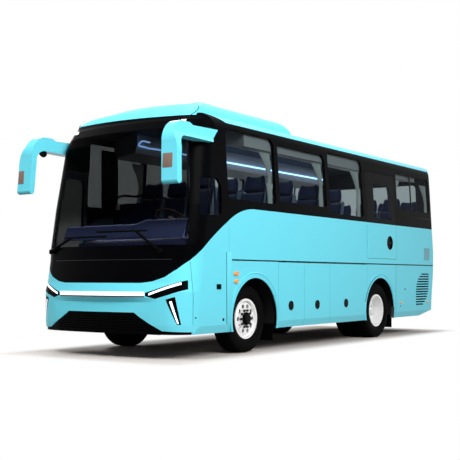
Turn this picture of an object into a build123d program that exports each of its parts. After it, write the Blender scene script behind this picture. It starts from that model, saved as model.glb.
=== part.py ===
from build123d import *
import math
import os

# Electric coach of the 8 m class. Millimetres, front faces -Y, +X is the bus's left, +Z up, ground at Z = 0.
WHEELBASE = 3800
FRONT_OVERHANG = 1690
REAR_OVERHANG = 2470
MIRROR_REACH = 90
WIDTH = 2480
HALF = WIDTH / 2
NOSE_Y = -(MIRROR_REACH + FRONT_OVERHANG + WHEELBASE + REAR_OVERHANG) / 2 + MIRROR_REACH
FRONT_AXLE_Y = NOSE_Y + FRONT_OVERHANG
REAR_AXLE_Y = FRONT_AXLE_Y + WHEELBASE
TAIL_Y = REAR_AXLE_Y + REAR_OVERHANG

# Heights
SILL_Z = 305
BELT_Z = 1214
WAIST_Z = 1885
CANTRAIL_Z = 2958
SIDE_TOP_Z = 2850
ROOF_EDGE_Z = 3060
ROOF_CROWN_Z = 3105
POD_TOP_Z = 3262
FLOOR_Z = 1000
FLOOR_T = 50

# Body shell
SIDE_TOP_HALF = 1175
ROOF_HALF = 960
TUCK = 25
TUCK_Z = 400
WALL = 45
GLASS = 8
SEAT = 0.3
GAP = 6
BOW_R = 3600
CORNER_R = 380
REAR_BOW_R = 14000
REAR_CORNER_R = 170

# Front and rear outline at the middle: height, distance behind the nose or ahead of the tail
FRONT_PROFILE = [(205, 24), (420, 2), (820, 0), (930, 36), (1210, 86), (1400, 98), (WAIST_Z, 186), (2700, 335),
                 (2830, 405), (2950, 490), (3180, 720)]
REAR_PROFILE = [(205, 110), (400, 95), (570, 88), (1100, 10), (1450, 0), (WAIST_Z, 70), (2850, 55), (3020, 85),
                (3180, 170)]
# The front scoop under the light bar: height, depth at the middle, bow radius there
SCOOP = [(205, 30, 6000), (420, 36, 6500), (568, 40, 6500), (692, 55, 7700), (755, -3, 3600)]

# Wheels and axles
TYRE_R = 447
TYRE_W = 283
RIM_SEAT_R = 248
FRONT_INSET = 120
REAR_INSET = 45
TWIN_SPACING = 318
ARCH_R = 540
KINGPIN_X = HALF - 360
KINGPIN_R = 20
SPINDLE_R = 40
RAIL_X = 430
RAIL_W = 80
RAIL_Z = 700
RAIL_H = 160



def fy(v):
    """A place behind the front axle."""
    return FRONT_AXLE_Y + v


def ry(v):
    """A place behind the rear axle."""
    return REAR_AXLE_Y + v


# Doors and hatches: seams along the side
SEAM_Y = -1330
SEAM_Z = 1197
STRIP_Y = -600
HATCH_Y = [fy(583), fy(1293), ry(-1742), ry(-473)]
EXIT_Y = (ry(-473), ry(629))
EXIT_Z = (1308, 2723)
HINGE_R = 5
BARREL_R = 9
STRAP = 6
HATCH_TOP_Z = BELT_Z - 14
LIP_W = 34
LIP_OUT = 9


def wire(points, place):
    """Closed wire; an item is a point, or (middle, end) for an arc."""
    edges = []
    start = points[0]
    here = start
    for item in points[1:] + [start]:
        if isinstance(item[0], tuple):
            edges.append(Edge.make_three_point_arc(place(here), place(item[0]), place(item[1])))
            here = item[1]
        elif math.dist(here, item) > 1e-6:
            edges.append(Edge.make_line(place(here), place(item)))
            here = item
    return Wire(edges)


def rounded(points, radii):
    """Outline with arcs at its corners; one radius a corner."""
    items = []
    count = len(points)
    for i, r in enumerate(radii):
        (ax, ay), (bx, by), (cx, cy) = points[i - 1], points[i], points[(i + 1) % count]
        din = math.dist((ax, ay), (bx, by))
        dout = math.dist((cx, cy), (bx, by))
        ux, uy = (ax - bx) / din, (ay - by) / din
        vx, vy = (cx - bx) / dout, (cy - by) / dout
        half = math.acos(ux * vx + uy * vy) / 2
        back = r / math.tan(half)
        mx, my = ux + vx, uy + vy
        far = (r / math.sin(half) - r) / math.hypot(mx, my)
        start = (bx + ux * back, by + uy * back)
        items.append(start)
        items.append(((bx + mx * far, by + my * far), (bx + vx * back, by + vy * back)))
    return items


def prism_x(points, x0, x1):
    """Outline in (y, z) drawn out along X."""
    face = Face(wire(points, lambda p: Vector(x0, p[0], p[1])))
    return Solid.extrude(face, Vector(x1 - x0, 0, 0))


def prism_y(points, y0, y1):
    """Outline in (x, z) drawn out along Y."""
    face = Face(wire(points, lambda p: Vector(p[0], y0, p[1])))
    return Solid.extrude(face, Vector(0, y1 - y0, 0))


def block(x0, x1, y0, y1, z0, z1):
    return Pos((x0 + x1) / 2, (y0 + y1) / 2, (z0 + z1) / 2) * Box(x1 - x0, y1 - y0, z1 - z0)


def rect(a0, a1, b0, b1):
    return [(a0, b0), (a1, b0), (a1, b1), (a0, b1)]


def round_x(r, x0, x1, y, z):
    return Pos((x0 + x1) / 2, y, z) * Rot(0, 90, 0) * Cylinder(r, x1 - x0)


def round_y(r, y0, y1, x, z):
    return Pos(x, (y0 + y1) / 2, z) * Rot(90, 0, 0) * Cylinder(r, y1 - y0)


def round_z(r, z0, z1, x, y):
    return Pos(x, y, (z0 + z1) / 2) * Cylinder(r, z1 - z0)


def other_side(shape):
    return mirror(shape, Plane.YZ)


def solids(*shapes):
    found = []
    for shape in shapes:
        found.extend(shape.solids())
    return found


def save(name, *shapes):
    found = solids(*shapes)
    shape = found[0] if len(found) == 1 else Compound(found)
    export_step(shape, "parts/" + name + ".step")
    print(name, len(found), round(sum(s.volume for s in found) / 1e6, 2))


def half_width(z):
    if z <= WAIST_Z:
        return HALF
    return HALF - (z - WAIST_Z) * (HALF - SIDE_TOP_HALF) / (SIDE_TOP_Z - WAIST_Z)


def cap_section(z, end, t, bow, corner, sign, far):
    """Plan outline at one height: bowed end, two corner arcs, straight sides to `far`."""
    hw = half_width(z) + 1
    cx = hw - corner
    cy = end + sign * (bow - math.sqrt((bow - corner) ** 2 - cx ** 2))
    bow_y = end + sign * bow
    ux = cx / (bow - corner)
    uy = (cy - bow_y) / (bow - corner)
    joint = (ux * (bow - t), bow_y + uy * (bow - t))
    mx, my = ux + 1, uy
    length = math.hypot(mx, my)
    middle = (cx + mx / length * (corner - t), cy + my / length * (corner - t))
    side = (hw - t, cy)
    flip = lambda p: (-p[0], p[1])
    return wire([(hw - t, far), side, (middle, joint), ((0, end + sign * t), flip(joint)),
                 (flip(middle), flip(side)), (-(hw - t), far)], lambda p: Vector(p[0], p[1], z))


def along(table, z):
    """Value of a (height, value) table at z."""
    for (z0, d0), (z1, d1) in zip(table, table[1:]):
        if z <= z1:
            return d0 + (d1 - d0) * (z - z0) / (z1 - z0)


def body(t):
    """The whole body's outside, moved in by t."""
    low = SILL_Z if t == 0 else SILL_Z - 90
    turn = math.sqrt(0.5)
    corner = (ROOF_HALF + (SIDE_TOP_HALF - t - ROOF_HALF) * turn, SIDE_TOP_Z + (ROOF_EDGE_Z - t - SIDE_TOP_Z) * turn)
    half = [(HALF - TUCK - t, low), (HALF - t, TUCK_Z), (HALF - t, WAIST_Z), (SIDE_TOP_HALF - t, SIDE_TOP_Z)]
    flip = lambda p: (-p[0], p[1])
    edge = (ROOF_HALF, ROOF_EDGE_Z - t)
    outline = half + [(corner, edge), ((0, ROOF_CROWN_Z - t), flip(edge)), (flip(corner), flip(half[3]))]
    outline += [flip(half[2]), flip(half[1]), flip(half[0])]
    hull = prism_y(outline, NOSE_Y - 50, TAIL_Y + 50)
    front = [cap_section(z, NOSE_Y + d, t, BOW_R, CORNER_R, 1, TAIL_Y + 200) for z, d in FRONT_PROFILE]
    rear = [cap_section(z, TAIL_Y - d, t, REAR_BOW_R, REAR_CORNER_R, -1, NOSE_Y - 200) for z, d in REAR_PROFILE]
    return hull & Solid.make_loft(front, ruled=True) & Solid.make_loft(rear, ruled=True)


os.makedirs("parts", exist_ok=True)
outer = body(0)
inner = body(WALL)
lining = body(WALL + SEAT)
BIG = 2000
# The sill rises towards the tail
DEPART = (ry(1670), 0.18)
depart_end = TAIL_Y + 100
departure = prism_x([(DEPART[0], SILL_Z), (DEPART[0], 0), (depart_end, 0),
                     (depart_end, SILL_Z + (depart_end - DEPART[0]) * DEPART[1])], -BIG, BIG)
shell = outer - inner - departure
skin = outer - body(GLASS)

# Lines that part the panels, in the side view
FRONT_LINE = [(fy(SEAM_Y), 0), (fy(SEAM_Y), SEAM_Z), (fy(-1030), CANTRAIL_Z), (fy(-1030), 3400)]
SWOOSH_START = (fy(SEAM_Y), SEAM_Z)
SWOOSH_RISE = (fy(-1000), 1460)
SWOOSH_BEND = (fy(-640), 1689)
SWOOSH_MID = (fy(-330), 1837)
SWOOSH_END = (fy(62), WAIST_Z)
REAR_LINE = [(TAIL_Y - 190, 0), (TAIL_Y - 190, 1900), (TAIL_Y - 250, 3000), (TAIL_Y - 250, 3400)]
front_zone = prism_x([(NOSE_Y - 200, 0)] + FRONT_LINE + [(NOSE_Y - 200, 3400)], -BIG, BIG)
rear_zone = prism_x([(TAIL_Y + 200, 0)] + REAR_LINE + [(TAIL_Y + 200, 3400)], -BIG, BIG)
middle = shell - front_zone - rear_zone
middle_skin = skin - front_zone - rear_zone
front = shell & front_zone
front_skin = skin & front_zone
rear = shell & rear_zone
rear_skin = skin & rear_zone

arches = []
for axle in (FRONT_AXLE_Y, REAR_AXLE_Y):
    arches.append(round_x(ARCH_R, -BIG, BIG, axle, TYRE_R))

# Roof, window bands and waist panels
BROW = ((fy(-690), 3010), (fy(-900), 3045))
band_zone = prism_x([SWOOSH_START, (SWOOSH_RISE, SWOOSH_BEND), (SWOOSH_MID, SWOOSH_END), (TAIL_Y, WAIST_Z),
                     (TAIL_Y, CANTRAIL_Z), (fy(-540), CANTRAIL_Z), BROW, (fy(-1100), 3045), (fy(-1500), SEAM_Z - 7)],
                    940, BIG)
exit_hole = prism_x(rect(EXIT_Y[0] - GAP, EXIT_Y[1] + GAP, EXIT_Z[0] - GAP, EXIT_Z[1] + GAP), 0, BIG)
exit_zone = prism_x(rect(EXIT_Y[0], EXIT_Y[1], EXIT_Z[0], EXIT_Z[1]), 0, BIG)

# Window panes: first and last y, low and high z
PANES = [(fy(-600), fy(545), 1990, 2875), (fy(645), ry(-1815), 2040, 2815), (ry(-1715), ry(-585), 1960, 2875),
         (ry(730), ry(2180), 2185, 2800)]
DRIVER_PANE = [(fy(-1180), 1750), (fy(-770), 1770), (fy(-745), 2232), (fy(-1135), 2205)]
EXIT_PANE = rect(ry(-190), ry(450), 1965, 2540)


def inset(points, g):
    """The outline moved in by g all round."""
    turn = math.copysign(1, sum(p[0] * q[1] - q[0] * p[1] for p, q in zip(points, points[1:] + points[:1])))
    lines = []
    for p, q in zip(points, points[1:] + points[:1]):
        d = math.dist(p, q)
        ux, uy = (q[0] - p[0]) / d, (q[1] - p[1]) / d
        lines.append((p[0] - uy * g * turn, p[1] + ux * g * turn, ux, uy))
    moved = []
    for (ax, ay, au, av), (bx, by, bu, bv) in zip(lines[-1:] + lines[:-1], lines):
        k = ((bx - ax) * bv - (by - ay) * bu) / (au * bv - av * bu)
        moved.append((ax + au * k, ay + av * k))
    return moved


pane_outlines = [rect(*p) for p in PANES]
PANE_R = (30, 45, 110, 40)
left_outlines = pane_outlines + [DRIVER_PANE]
left_half = middle & block(0, BIG, -6000, 6000, 0, 4000)
band = left_half & band_zone
waist = (left_half & block(0, BIG, fy(STRIP_Y), TAIL_Y, BELT_Z + 10, WAIST_Z)) - band_zone
roof = middle - band_zone - other_side(band_zone)
roof = roof & block(-BIG, BIG, -6000, 6000, CANTRAIL_Z, 4000)

# Passenger door on the right, in the side view
DOOR = [(fy(SEAM_Y) + GAP, 335), (fy(STRIP_Y) - GAP, 335), (fy(STRIP_Y) - GAP, 2450), (fy(-1108), 2450),
        (fy(SEAM_Y) + GAP, SEAM_Z - 17)]
DOOR_HOLE = [(fy(SEAM_Y) - 1, 0), (fy(STRIP_Y), 0), (fy(STRIP_Y), 2450 + GAP), (fy(-1200), 2450 + GAP),
             (fy(-1500), SEAM_Z)]
door_zone = prism_x(DOOR, -BIG, -700)
door_hole = prism_x(DOOR_HOLE, -BIG, -700)

left_band = band - exit_hole
left_waist = waist - exit_hole
right_band = other_side(band) - door_hole
right_waist = other_side(waist) - door_hole
side_panes = []
for outline in left_outlines:
    left_band = left_band - prism_x(rounded(outline, PANE_R), 0, BIG)
    side_panes.append(middle_skin & prism_x(rounded(inset(outline, SEAT), PANE_R), 0, BIG))
RIGHT_PANES = pane_outlines[:3] + [rect(ry(-470), ry(620), 2040, 2815), pane_outlines[3]]
for outline in RIGHT_PANES:
    right_band = right_band - prism_x(rounded(outline, PANE_R), -BIG, 0)
    side_panes.append(middle_skin & prism_x(rounded(inset(outline, SEAT), PANE_R), -BIG, 0))
save("side_glass", *side_panes)
save("roof_panel", roof)


# Emergency door on the left: strap hinges on an upright pin at its front edge, a handle in a round recess
EXIT_PIN_X = HALF + STRAP / 2
exit_pin_y = EXIT_Y[0] - GAP / 2
exit_leaf = (left_half & exit_zone) - prism_x(rounded(EXIT_PANE, PANE_R), 0, BIG)
HANDLE_Y, HANDLE_Z, HANDLE_R = ry(386), 1577, 118
exit_leaf = exit_leaf - round_x(HANDLE_R, HALF - 26, HALF + 1, HANDLE_Y, HANDLE_Z)
exit_leaf = exit_leaf + round_y(11, HANDLE_Y - HANDLE_R - 4, HANDLE_Y + HANDLE_R + 4, HALF - 12, HANDLE_Z)
strap_x = (EXIT_PIN_X - STRAP / 2, EXIT_PIN_X + STRAP / 2)
exit_pin = round_z(HINGE_R, 1360, 1860, EXIT_PIN_X, exit_pin_y)
for z in (1360, 1600, 1842):
    exit_pin = exit_pin + block(*strap_x, exit_pin_y - 60, exit_pin_y, z, z + 18)
slot = block(HALF - 20, BIG, exit_pin_y - 14, exit_pin_y + 14, 1354, 1866)
exit_leaf = exit_leaf - slot
left_waist = left_waist - (slot - block(0, BIG, -6000, exit_pin_y - 12, 0, 4000))
for z in (1400, 1735):
    hinge = round_z(BARREL_R, z, z + 90, EXIT_PIN_X, exit_pin_y)
    hinge = hinge + block(*strap_x, exit_pin_y, exit_pin_y + 60, z, z + 90)
    hinge = hinge - round_z(HINGE_R + SEAT, z - 1, z + 91, EXIT_PIN_X, exit_pin_y)
    exit_leaf = exit_leaf + hinge
left_waist = left_waist + exit_pin
save("emergency_door", exit_leaf)
save("emergency_door_glass", middle_skin & prism_x(rounded(inset(EXIT_PANE, SEAT), PANE_R), 0, BIG))
save("window_bands", left_band, right_band)
save("waist_panels", left_waist, right_waist)

# Belt rails: the round rails that the hatches hang on
HINGE_X = HALF - 8
BELT_PIN_Z = BELT_Z - 4
belt = round_y(HINGE_R, fy(STRIP_Y) + 4, TAIL_Y - 194, HINGE_X, BELT_PIN_Z)
save("belt_rails", belt, other_side(belt))


def lower_panel(y0, y1, top):
    """Side panel under the belt, with its share of the wheel arches and their lips."""
    zone = block(0, BIG, y0, y1, SILL_Z, top)
    panel = left_half & zone
    for axle, arch in zip((FRONT_AXLE_Y, REAR_AXLE_Y), arches):
        if y0 - ARCH_R - LIP_W < axle < y1 + ARCH_R + LIP_W:
            lip = round_x(ARCH_R + LIP_W, HALF - 34, HALF + LIP_OUT, axle, TYRE_R) - arch
            panel = panel - arch + (lip & zone)
    return panel


# Hatches with two hinge barrels each
for i in range(3):
    y0, y1 = HATCH_Y[i] + GAP / 2, HATCH_Y[i + 1] - GAP / 2
    hatch = lower_panel(y0, y1, HATCH_TOP_Z)
    for y in (y0 + 120, y1 - 180):
        hinge = round_y(BARREL_R, y, y + 60, HINGE_X, BELT_PIN_Z)
        hinge = hinge + block(HINGE_X - 3, HINGE_X + 3, y, y + 60, HATCH_TOP_Z - 40, BELT_PIN_Z)
        hinge = hinge - round_y(HINGE_R + SEAT, y - 1, y + 61, HINGE_X, BELT_PIN_Z)
        hatch = hatch + hinge
    save("left_hatch_%d" % (i + 1), hatch)
    save("right_hatch_%d" % (i + 1), other_side(hatch))

# Fixed lower side panels
PANEL_TOP = BELT_PIN_Z - HINGE_R
front_arch = lower_panel(fy(STRIP_Y) + GAP / 2, HATCH_Y[0] - GAP / 2, PANEL_TOP)
rear_arch = lower_panel(EXIT_Y[0] + GAP / 2, EXIT_Y[1] - GAP / 2, PANEL_TOP)
save("wheel_arch_panels", front_arch, other_side(front_arch), rear_arch, other_side(rear_arch))
front_corner = (left_half & block(0, BIG, fy(SEAM_Y), fy(STRIP_Y) - GAP / 2, 0, WAIST_Z)) - band_zone
rear_corner = lower_panel(EXIT_Y[1] + GAP / 2, TAIL_Y, PANEL_TOP)
# Cooling slots in a leaf outline: first and last y, how far the top and the low slots fall short of them
VENT_Y, VENT_Z = (ry(1488), ry(2067)), (500, 1042)
VENT_SHORT = (240, 257)
VENT_SLOTS = 13
VENT_H = 24
for i in range(VENT_SLOTS):
    u = i / (VENT_SLOTS - 1)
    z = VENT_Z[0] + (VENT_Z[1] - VENT_Z[0]) * u
    y0 = VENT_Y[0] + VENT_SHORT[0] * u ** 5
    y1 = VENT_Y[1] - VENT_SHORT[1] * (1 - u) ** 4
    rear_corner = rear_corner - block(HALF - 100, BIG, y0, y1, z, z + VENT_H)
save("corner_panels", front_corner, rear_corner, other_side(rear_corner))

# Front end, outlines in the front view (x, z)
GRILLE = [(-1300, SILL_Z), (1300, SILL_Z), (1300, 332), (925, 352), (604, 528), (545, 568), (-545, 568), (-604, 528),
          (-925, 352), (-1300, 332)]
BUMPER_TOP = [(640, 926), (785, 945), (940, 999), (1072, 1094), (1170, SEAM_Z), (1300, 1340)]
LIGHT_BAR = rect(-704, 704, 752, 820)
HEADLAMP = [(712, 768), (843, 735), (1006, 784), (1185, 850), (1172, 960), (712, 806)]
HEAD_STRIP = [(760, 776), (1128, 908), (1120, 936), (760, 803)]
CORNER_LAMP = [(975, 728), (1080, 762), (1135, 428), (1098, 428)]
CORNER_STRIP = [(1018, 705), (1046, 712), (1116, 440), (1102, 440)]
SCREEN = [(-1150, 1385), (1150, 1385), (1152, 1540), (1100, 2172), (1031, 2760), (900, 2850), (-900, 2850),
          (-1031, 2760), (-1100, 2172), (-1152, 1540)]
flip_x = lambda points: [(-x, z) for x, z in reversed(points)]
Y0, Y1 = NOSE_Y - 100, fy(-900)


def front_cut(points):
    return prism_y(points, Y0, Y1)


def scooped(t):
    """The body moved in by t, with the scoop taken out of its front."""
    ends = [(z, NOSE_Y + along(FRONT_PROFILE, z) + depth, bow) for z, depth, bow in SCOOP]
    keep = Solid.make_loft([cap_section(z, y + t, 0, bow, CORNER_R, 1, TAIL_Y) for z, y, bow in ends], ruled=True)
    return body(t) - (block(-BIG, BIG, NOSE_Y - 300, fy(-1000), SCOOP[0][0], SCOOP[-1][0]) - keep)


bumper_zone = front_cut([(-1300, 0), (1300, 0)] + BUMPER_TOP[::-1] + flip_x(BUMPER_TOP)[::-1])
bumper_shell = (scooped(0) - scooped(WALL)) & front_zone
bumper = bumper_shell & bumper_zone
mask = (front - bumper_zone) - front_cut(SCREEN)
lamp_outlines = [HEADLAMP, flip_x(HEADLAMP), CORNER_LAMP, flip_x(CORNER_LAMP)]
strip_outlines = [HEAD_STRIP, flip_x(HEAD_STRIP), CORNER_STRIP, flip_x(CORNER_STRIP)]
bumper = bumper - front_cut(GRILLE) - front_cut(LIGHT_BAR)
lamps = []
strips = [front & front_cut(inset(LIGHT_BAR, SEAT))]
for lamp, strip in zip(lamp_outlines, strip_outlines):
    bumper = bumper - front_cut(lamp)
    lamps.append((front & front_cut(inset(lamp, SEAT))) - front_cut(strip))
    strips.append(front & front_cut(inset(strip, SEAT)))
GRILLE_IN = 15
grille_face = scooped(GRILLE_IN)
grille = (grille_face - scooped(WALL)) & front_zone & front_cut(inset(GRILLE, SEAT))
GROOVE_Z = range(345, 560, 30)
grooves = grille_face - scooped(GRILLE_IN + 12)
for z in GROOVE_Z:
    reach = min(540, 1180 - 2.2 * (z - 320)) if z > 500 else 560 + (500 - z) * 1.6
    grille = grille - (grooves & front_cut(rect(-reach, reach, z, z + 12)))
save("front_bumper", bumper)
save("front_mask", mask)
save("windscreen", front_skin & front_cut(inset(SCREEN, SEAT)))
save("lower_grille", grille)
save("headlamps", *lamps)
save("lamp_strips", *strips)

# Passenger door: leaf, pane and the pillar with its two swing arms
DOOR_PANE = [(fy(-1240), 1330), (fy(-680), 1330), (fy(-680), 2350), (fy(-1055), 2350)]
door_shell = middle & block(-BIG, 0, -6000, 6000, 0, 4000)
DOOR_R = (60, 60, 90, 60)
door = (door_shell & door_zone) - prism_x(rounded(DOOR_PANE, DOOR_R), -BIG, 0)
PILLAR_X, PILLAR_Y, PILLAR_R = -1150, fy(-1165), 22
ARM_Y, ARM_PIN_R = fy(-690), 12
ARM_Z = (640, 1180)
arms = round_z(PILLAR_R, 370 + SEAT, 1240, PILLAR_X, PILLAR_Y)
for z in ARM_Z:
    arms = arms + block(PILLAR_X - 20, PILLAR_X + 20, PILLAR_Y, ARM_Y, z - 15, z + 15)
    arms = arms + round_z(24, z - 15, z + 15, PILLAR_X, ARM_Y)
    arms = arms - round_z(ARM_PIN_R + SEAT, z - 20, z + 20, PILLAR_X, ARM_Y)
    door = door + round_z(ARM_PIN_R, z - 45, z + 45, PILLAR_X, ARM_Y)
    for low in (z - 45, z + 30):
        door = door + block(-(HALF - 20), PILLAR_X + 14, ARM_Y - 14, ARM_Y + 14, low, low + 15)
save("passenger_door", door)
save("passenger_door_glass", middle_skin & prism_x(rounded(inset(DOOR_PANE, SEAT), DOOR_R), -BIG, -700))
save("door_arms", arms)

# Rear end, outlines in the rear view (x, z)
LID = rect(-930, 930, 640, 1556)
LID_PIN_Z = 1572
LID_PIN_Y = TAIL_Y - along(REAR_PROFILE, LID_PIN_Z) - 3
REAR_PANE = [(-900, 1990), (900, 1990), (860, 2740), (-860, 2740)]
TAIL_LAMP = [(1010, 900), (1160, 900), (1160, 1500), (1010, 1500)]
rear_cut = lambda points: prism_y(points, TAIL_Y - 700, TAIL_Y + 100)
rear_panel = rear & block(-BIG, BIG, -6000, 6000, 600, 4000)
REAR_PANE_R = (80, 80, 80, 80)
rear_panel = rear_panel - rear_cut(rect(-936, 936, 0, 1566)) - rear_cut(rounded(REAR_PANE, REAR_PANE_R))
tail_lamps = []
for outline in (TAIL_LAMP, flip_x(TAIL_LAMP)):
    rear_panel = rear_panel - rear_cut(outline)
    tail_lamps.append(rear & rear_cut(inset(outline, SEAT)))
lid = rear & rear_cut(LID)
for x in (-250, 250):
    hinge = round_x(BARREL_R, x - 40, x + 40, LID_PIN_Y, LID_PIN_Z)
    hinge = hinge + block(x - 40, x + 40, LID_PIN_Y - 6, LID_PIN_Y, 1500, LID_PIN_Z)
    hinge = hinge - round_x(HINGE_R + SEAT, x - 41, x + 41, LID_PIN_Y, LID_PIN_Z)
    lid = lid + hinge
    pin = round_x(HINGE_R, x - 60, x + 60, LID_PIN_Y, LID_PIN_Z)
    for e in (-60, 46):
        pin = pin + block(x + e, x + e + 14, LID_PIN_Y - 6, LID_PIN_Y, LID_PIN_Z, 1640)
    rear_panel = rear_panel - block(x - 46, x + 46, LID_PIN_Y - 20, TAIL_Y + 50, 1500, LID_PIN_Z + 16)
    rear_panel = rear_panel + pin
save("rear_panel", rear_panel)
save("rear_window", rear_skin & rear_cut(rounded(inset(REAR_PANE, SEAT), REAR_PANE_R)))
save("motor_lid", lid)
save("rear_bumper", rear & block(-BIG, BIG, -6000, 6000, 0, 594))
save("tail_lamps", *tail_lamps)

# Roof pod: its front follows the body's bow
POD_HALF = 1010
# its front: height below or over the crown of the pod, distance behind the nose
POD_FRONT = [(POD_TOP_Z - 350, 520), (POD_TOP_Z - 265, 533), (POD_TOP_Z - 205, 572), (POD_TOP_Z - 150, 633),
             (POD_TOP_Z - 105, 710), (POD_TOP_Z - 66, 810), (POD_TOP_Z - 35, 930), (POD_TOP_Z - 13, 1080),
             (POD_TOP_Z, 1290), (POD_TOP_Z + 200, 1290)]
pod_sections = [cap_section(z, NOSE_Y + d, 0, BOW_R, CORNER_R, 1, TAIL_Y) for z, d in POD_FRONT]
pod_nose = Solid.make_loft(pod_sections, ruled=True)
pod_low = POD_TOP_Z - 350
pod_side = prism_x([(NOSE_Y, pod_low), (NOSE_Y, POD_TOP_Z), (fy(760), POD_TOP_Z),
                    ((fy(1090), POD_TOP_Z - 35), (fy(1350), POD_TOP_Z - 215)), (fy(1350), pod_low)], -BIG, BIG)
pod_half = [(POD_HALF, pod_low), (POD_HALF - 20, POD_TOP_Z - 170),
            ((POD_HALF - 60, POD_TOP_Z - 90), (POD_HALF - 150, POD_TOP_Z - 40))]
pod_end = prism_y([(-POD_HALF, pod_low)] + pod_half + [
    ((0, POD_TOP_Z), (150 - POD_HALF, POD_TOP_Z - 40)),
    ((60 - POD_HALF, POD_TOP_Z - 90), (20 - POD_HALF, POD_TOP_Z - 170))], -6000, 6000)
save("roof_pod", (pod_side & pod_end & pod_nose) - outer)

# Floor with side ledges and entrance steps
floor = lining & block(-BIG, BIG, NOSE_Y + 140, TAIL_Y - 260, FLOOR_Z, FLOOR_Z + FLOOR_T)
ledge = (lining - body(WALL + SEAT + 40)) & block(-BIG, BIG, fy(STRIP_Y), TAIL_Y - 260, FLOOR_Z, 1290)
WELL = (-(HALF - WALL), -560, fy(SEAM_Y) + 20, fy(STRIP_Y) - 20)
floor = floor + ledge - block(-BIG, WELL[1], WELL[2], WELL[3], 0, 2000)
DECK_Z = FLOOR_Z + FLOOR_T
STEP_X = (-(HALF - 65), -860, -600, WELL[1])
STEP_Z = (340, 650, 960)
STEP_T = 30
steps = prism_y([(STEP_X[0], STEP_Z[0]), (STEP_X[1] + STEP_T / 2, STEP_Z[0]), (STEP_X[1] + STEP_T / 2, STEP_Z[1]),
                 (STEP_X[2] + STEP_T / 2, STEP_Z[1]), (STEP_X[2] + STEP_T / 2, STEP_Z[2]), (STEP_X[3], STEP_Z[2]),
                 (STEP_X[3], DECK_Z), (STEP_X[2] - STEP_T / 2, DECK_Z), (STEP_X[2] - STEP_T / 2, STEP_Z[1] + STEP_T),
                 (STEP_X[1] - STEP_T / 2, STEP_Z[1] + STEP_T), (STEP_X[1] - STEP_T / 2, STEP_Z[0] + STEP_T),
                 (STEP_X[0], STEP_Z[0] + STEP_T)], WELL[2], WELL[3])
floor = floor + (steps & lining)
save("floor_deck", floor)

# Underframe: two rails, cross members on them, bulkheads by the wheels and the luggage tray
FLOOR_UNDER = FLOOR_Z - SEAT
rail = block(RAIL_X - RAIL_W / 2, RAIL_X + RAIL_W / 2, NOSE_Y + 260, TAIL_Y - 300, RAIL_Z, RAIL_Z + RAIL_H)
frame = [rail, other_side(rail)]
CROSS_W = 60
CROSS_REACH = HALF - WALL - 20
# cross members: y and reach to each side
CROSS = [(fy(-1420), 520), (fy(-700), 520), (fy(680), CROSS_REACH), (fy(1320), CROSS_REACH), (ry(-1720), CROSS_REACH),
         (ry(-645), CROSS_REACH), (ry(680), CROSS_REACH), (ry(1900), CROSS_REACH)]
for y, reach in CROSS:
    frame.append(block(-reach, reach, y, y + CROSS_W, RAIL_Z + RAIL_H + SEAT, FLOOR_UNDER))
BULKHEAD_T = 10
BULKHEAD = (540, HALF - WALL - 10)
BULKHEAD_Y = (fy(-ARCH_R - 35), fy(ARCH_R + 20), ry(-ARCH_R - 30), ry(ARCH_R + 20))
for y in BULKHEAD_Y:
    bulkhead = block(*BULKHEAD, y, y + BULKHEAD_T, 360, FLOOR_UNDER)
    frame.extend([bulkhead, other_side(bulkhead)])
TRAY_HALF = HALF - WALL - 15
TRAY_Y = (ry(-1715), ry(-600))
TRAY_Z = 335
TRAY_T = 20
tray_wall = BULKHEAD_T + SEAT
frame.append(block(-TRAY_HALF, TRAY_HALF, TRAY_Y[0] + tray_wall, TRAY_Y[1] - tray_wall, TRAY_Z - TRAY_T, TRAY_Z))
for y in (TRAY_Y[0], TRAY_Y[1] - BULKHEAD_T):
    frame.append(block(-TRAY_HALF, TRAY_HALF, y, y + BULKHEAD_T, TRAY_Z - TRAY_T, RAIL_Z - SEAT))
save("underframe", *frame)

# Towing eye: a level plate with an upright hole, on a shank under the rearmost cross member
EYE_R, EYE_Z, EYE_T = 25, 350, 30
EYE_WALL = 35
SHANK_W = 40
shank_y = ry(1900) + CROSS_W / 2
eye_y = shank_y + SHANK_W / 2 + EYE_WALL + EYE_R
tow = round_z(EYE_R + EYE_WALL, EYE_Z, EYE_Z + EYE_T, 0, eye_y)
tow = tow + block(-SHANK_W / 2, SHANK_W / 2, shank_y - SHANK_W / 2, eye_y, EYE_Z, EYE_Z + EYE_T)
tow = tow + block(-SHANK_W / 2, SHANK_W / 2, shank_y - SHANK_W / 2, shank_y + SHANK_W / 2, EYE_Z, RAIL_Z + RAIL_H)
save("towing_eye", tow - round_z(EYE_R, EYE_Z - 1, EYE_Z + EYE_T + 1, 0, eye_y))
FLAP_T = 12
flap_y = BULKHEAD_Y[1] + BULKHEAD_T + SEAT
flap = block(HALF - 410, HALF - 90, flap_y, flap_y + FLAP_T, 130, 600)
rear_flap_y = BULKHEAD_Y[3] + BULKHEAD_T + SEAT
rear_flap = block(600, HALF - 60, rear_flap_y, rear_flap_y + FLAP_T, 140, 600)
save("mud_flaps", flap, other_side(flap), rear_flap, other_side(rear_flap))
side_pack = block(RAIL_X + RAIL_W / 2 + SEAT, HALF - 110, fy(760), ry(-1820), 350, 830)
rear_pack = block(-880, 880, ry(820), ry(1820), 380, RAIL_Z - SEAT)
save("battery_packs", side_pack, other_side(side_pack), rear_pack)

# Wheels: outlines in (distance outwards from the tyre's middle, radius)
TYRE = [(-104.7, RIM_SEAT_R + SEAT), (-104.7, 270), ((-TYRE_W / 2, 345), (-120, 430)), (-104, TYRE_R), (104, TYRE_R),
        (120, 430), ((TYRE_W / 2, 345), (104.7, 270)), (104.7, RIM_SEAT_R + SEAT)]


def turned(points, x):
    face = Face(wire(points, lambda p: Vector(x + p[0], 0, p[1])))
    return Solid.revolve(face, 360, Axis.X)


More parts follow.
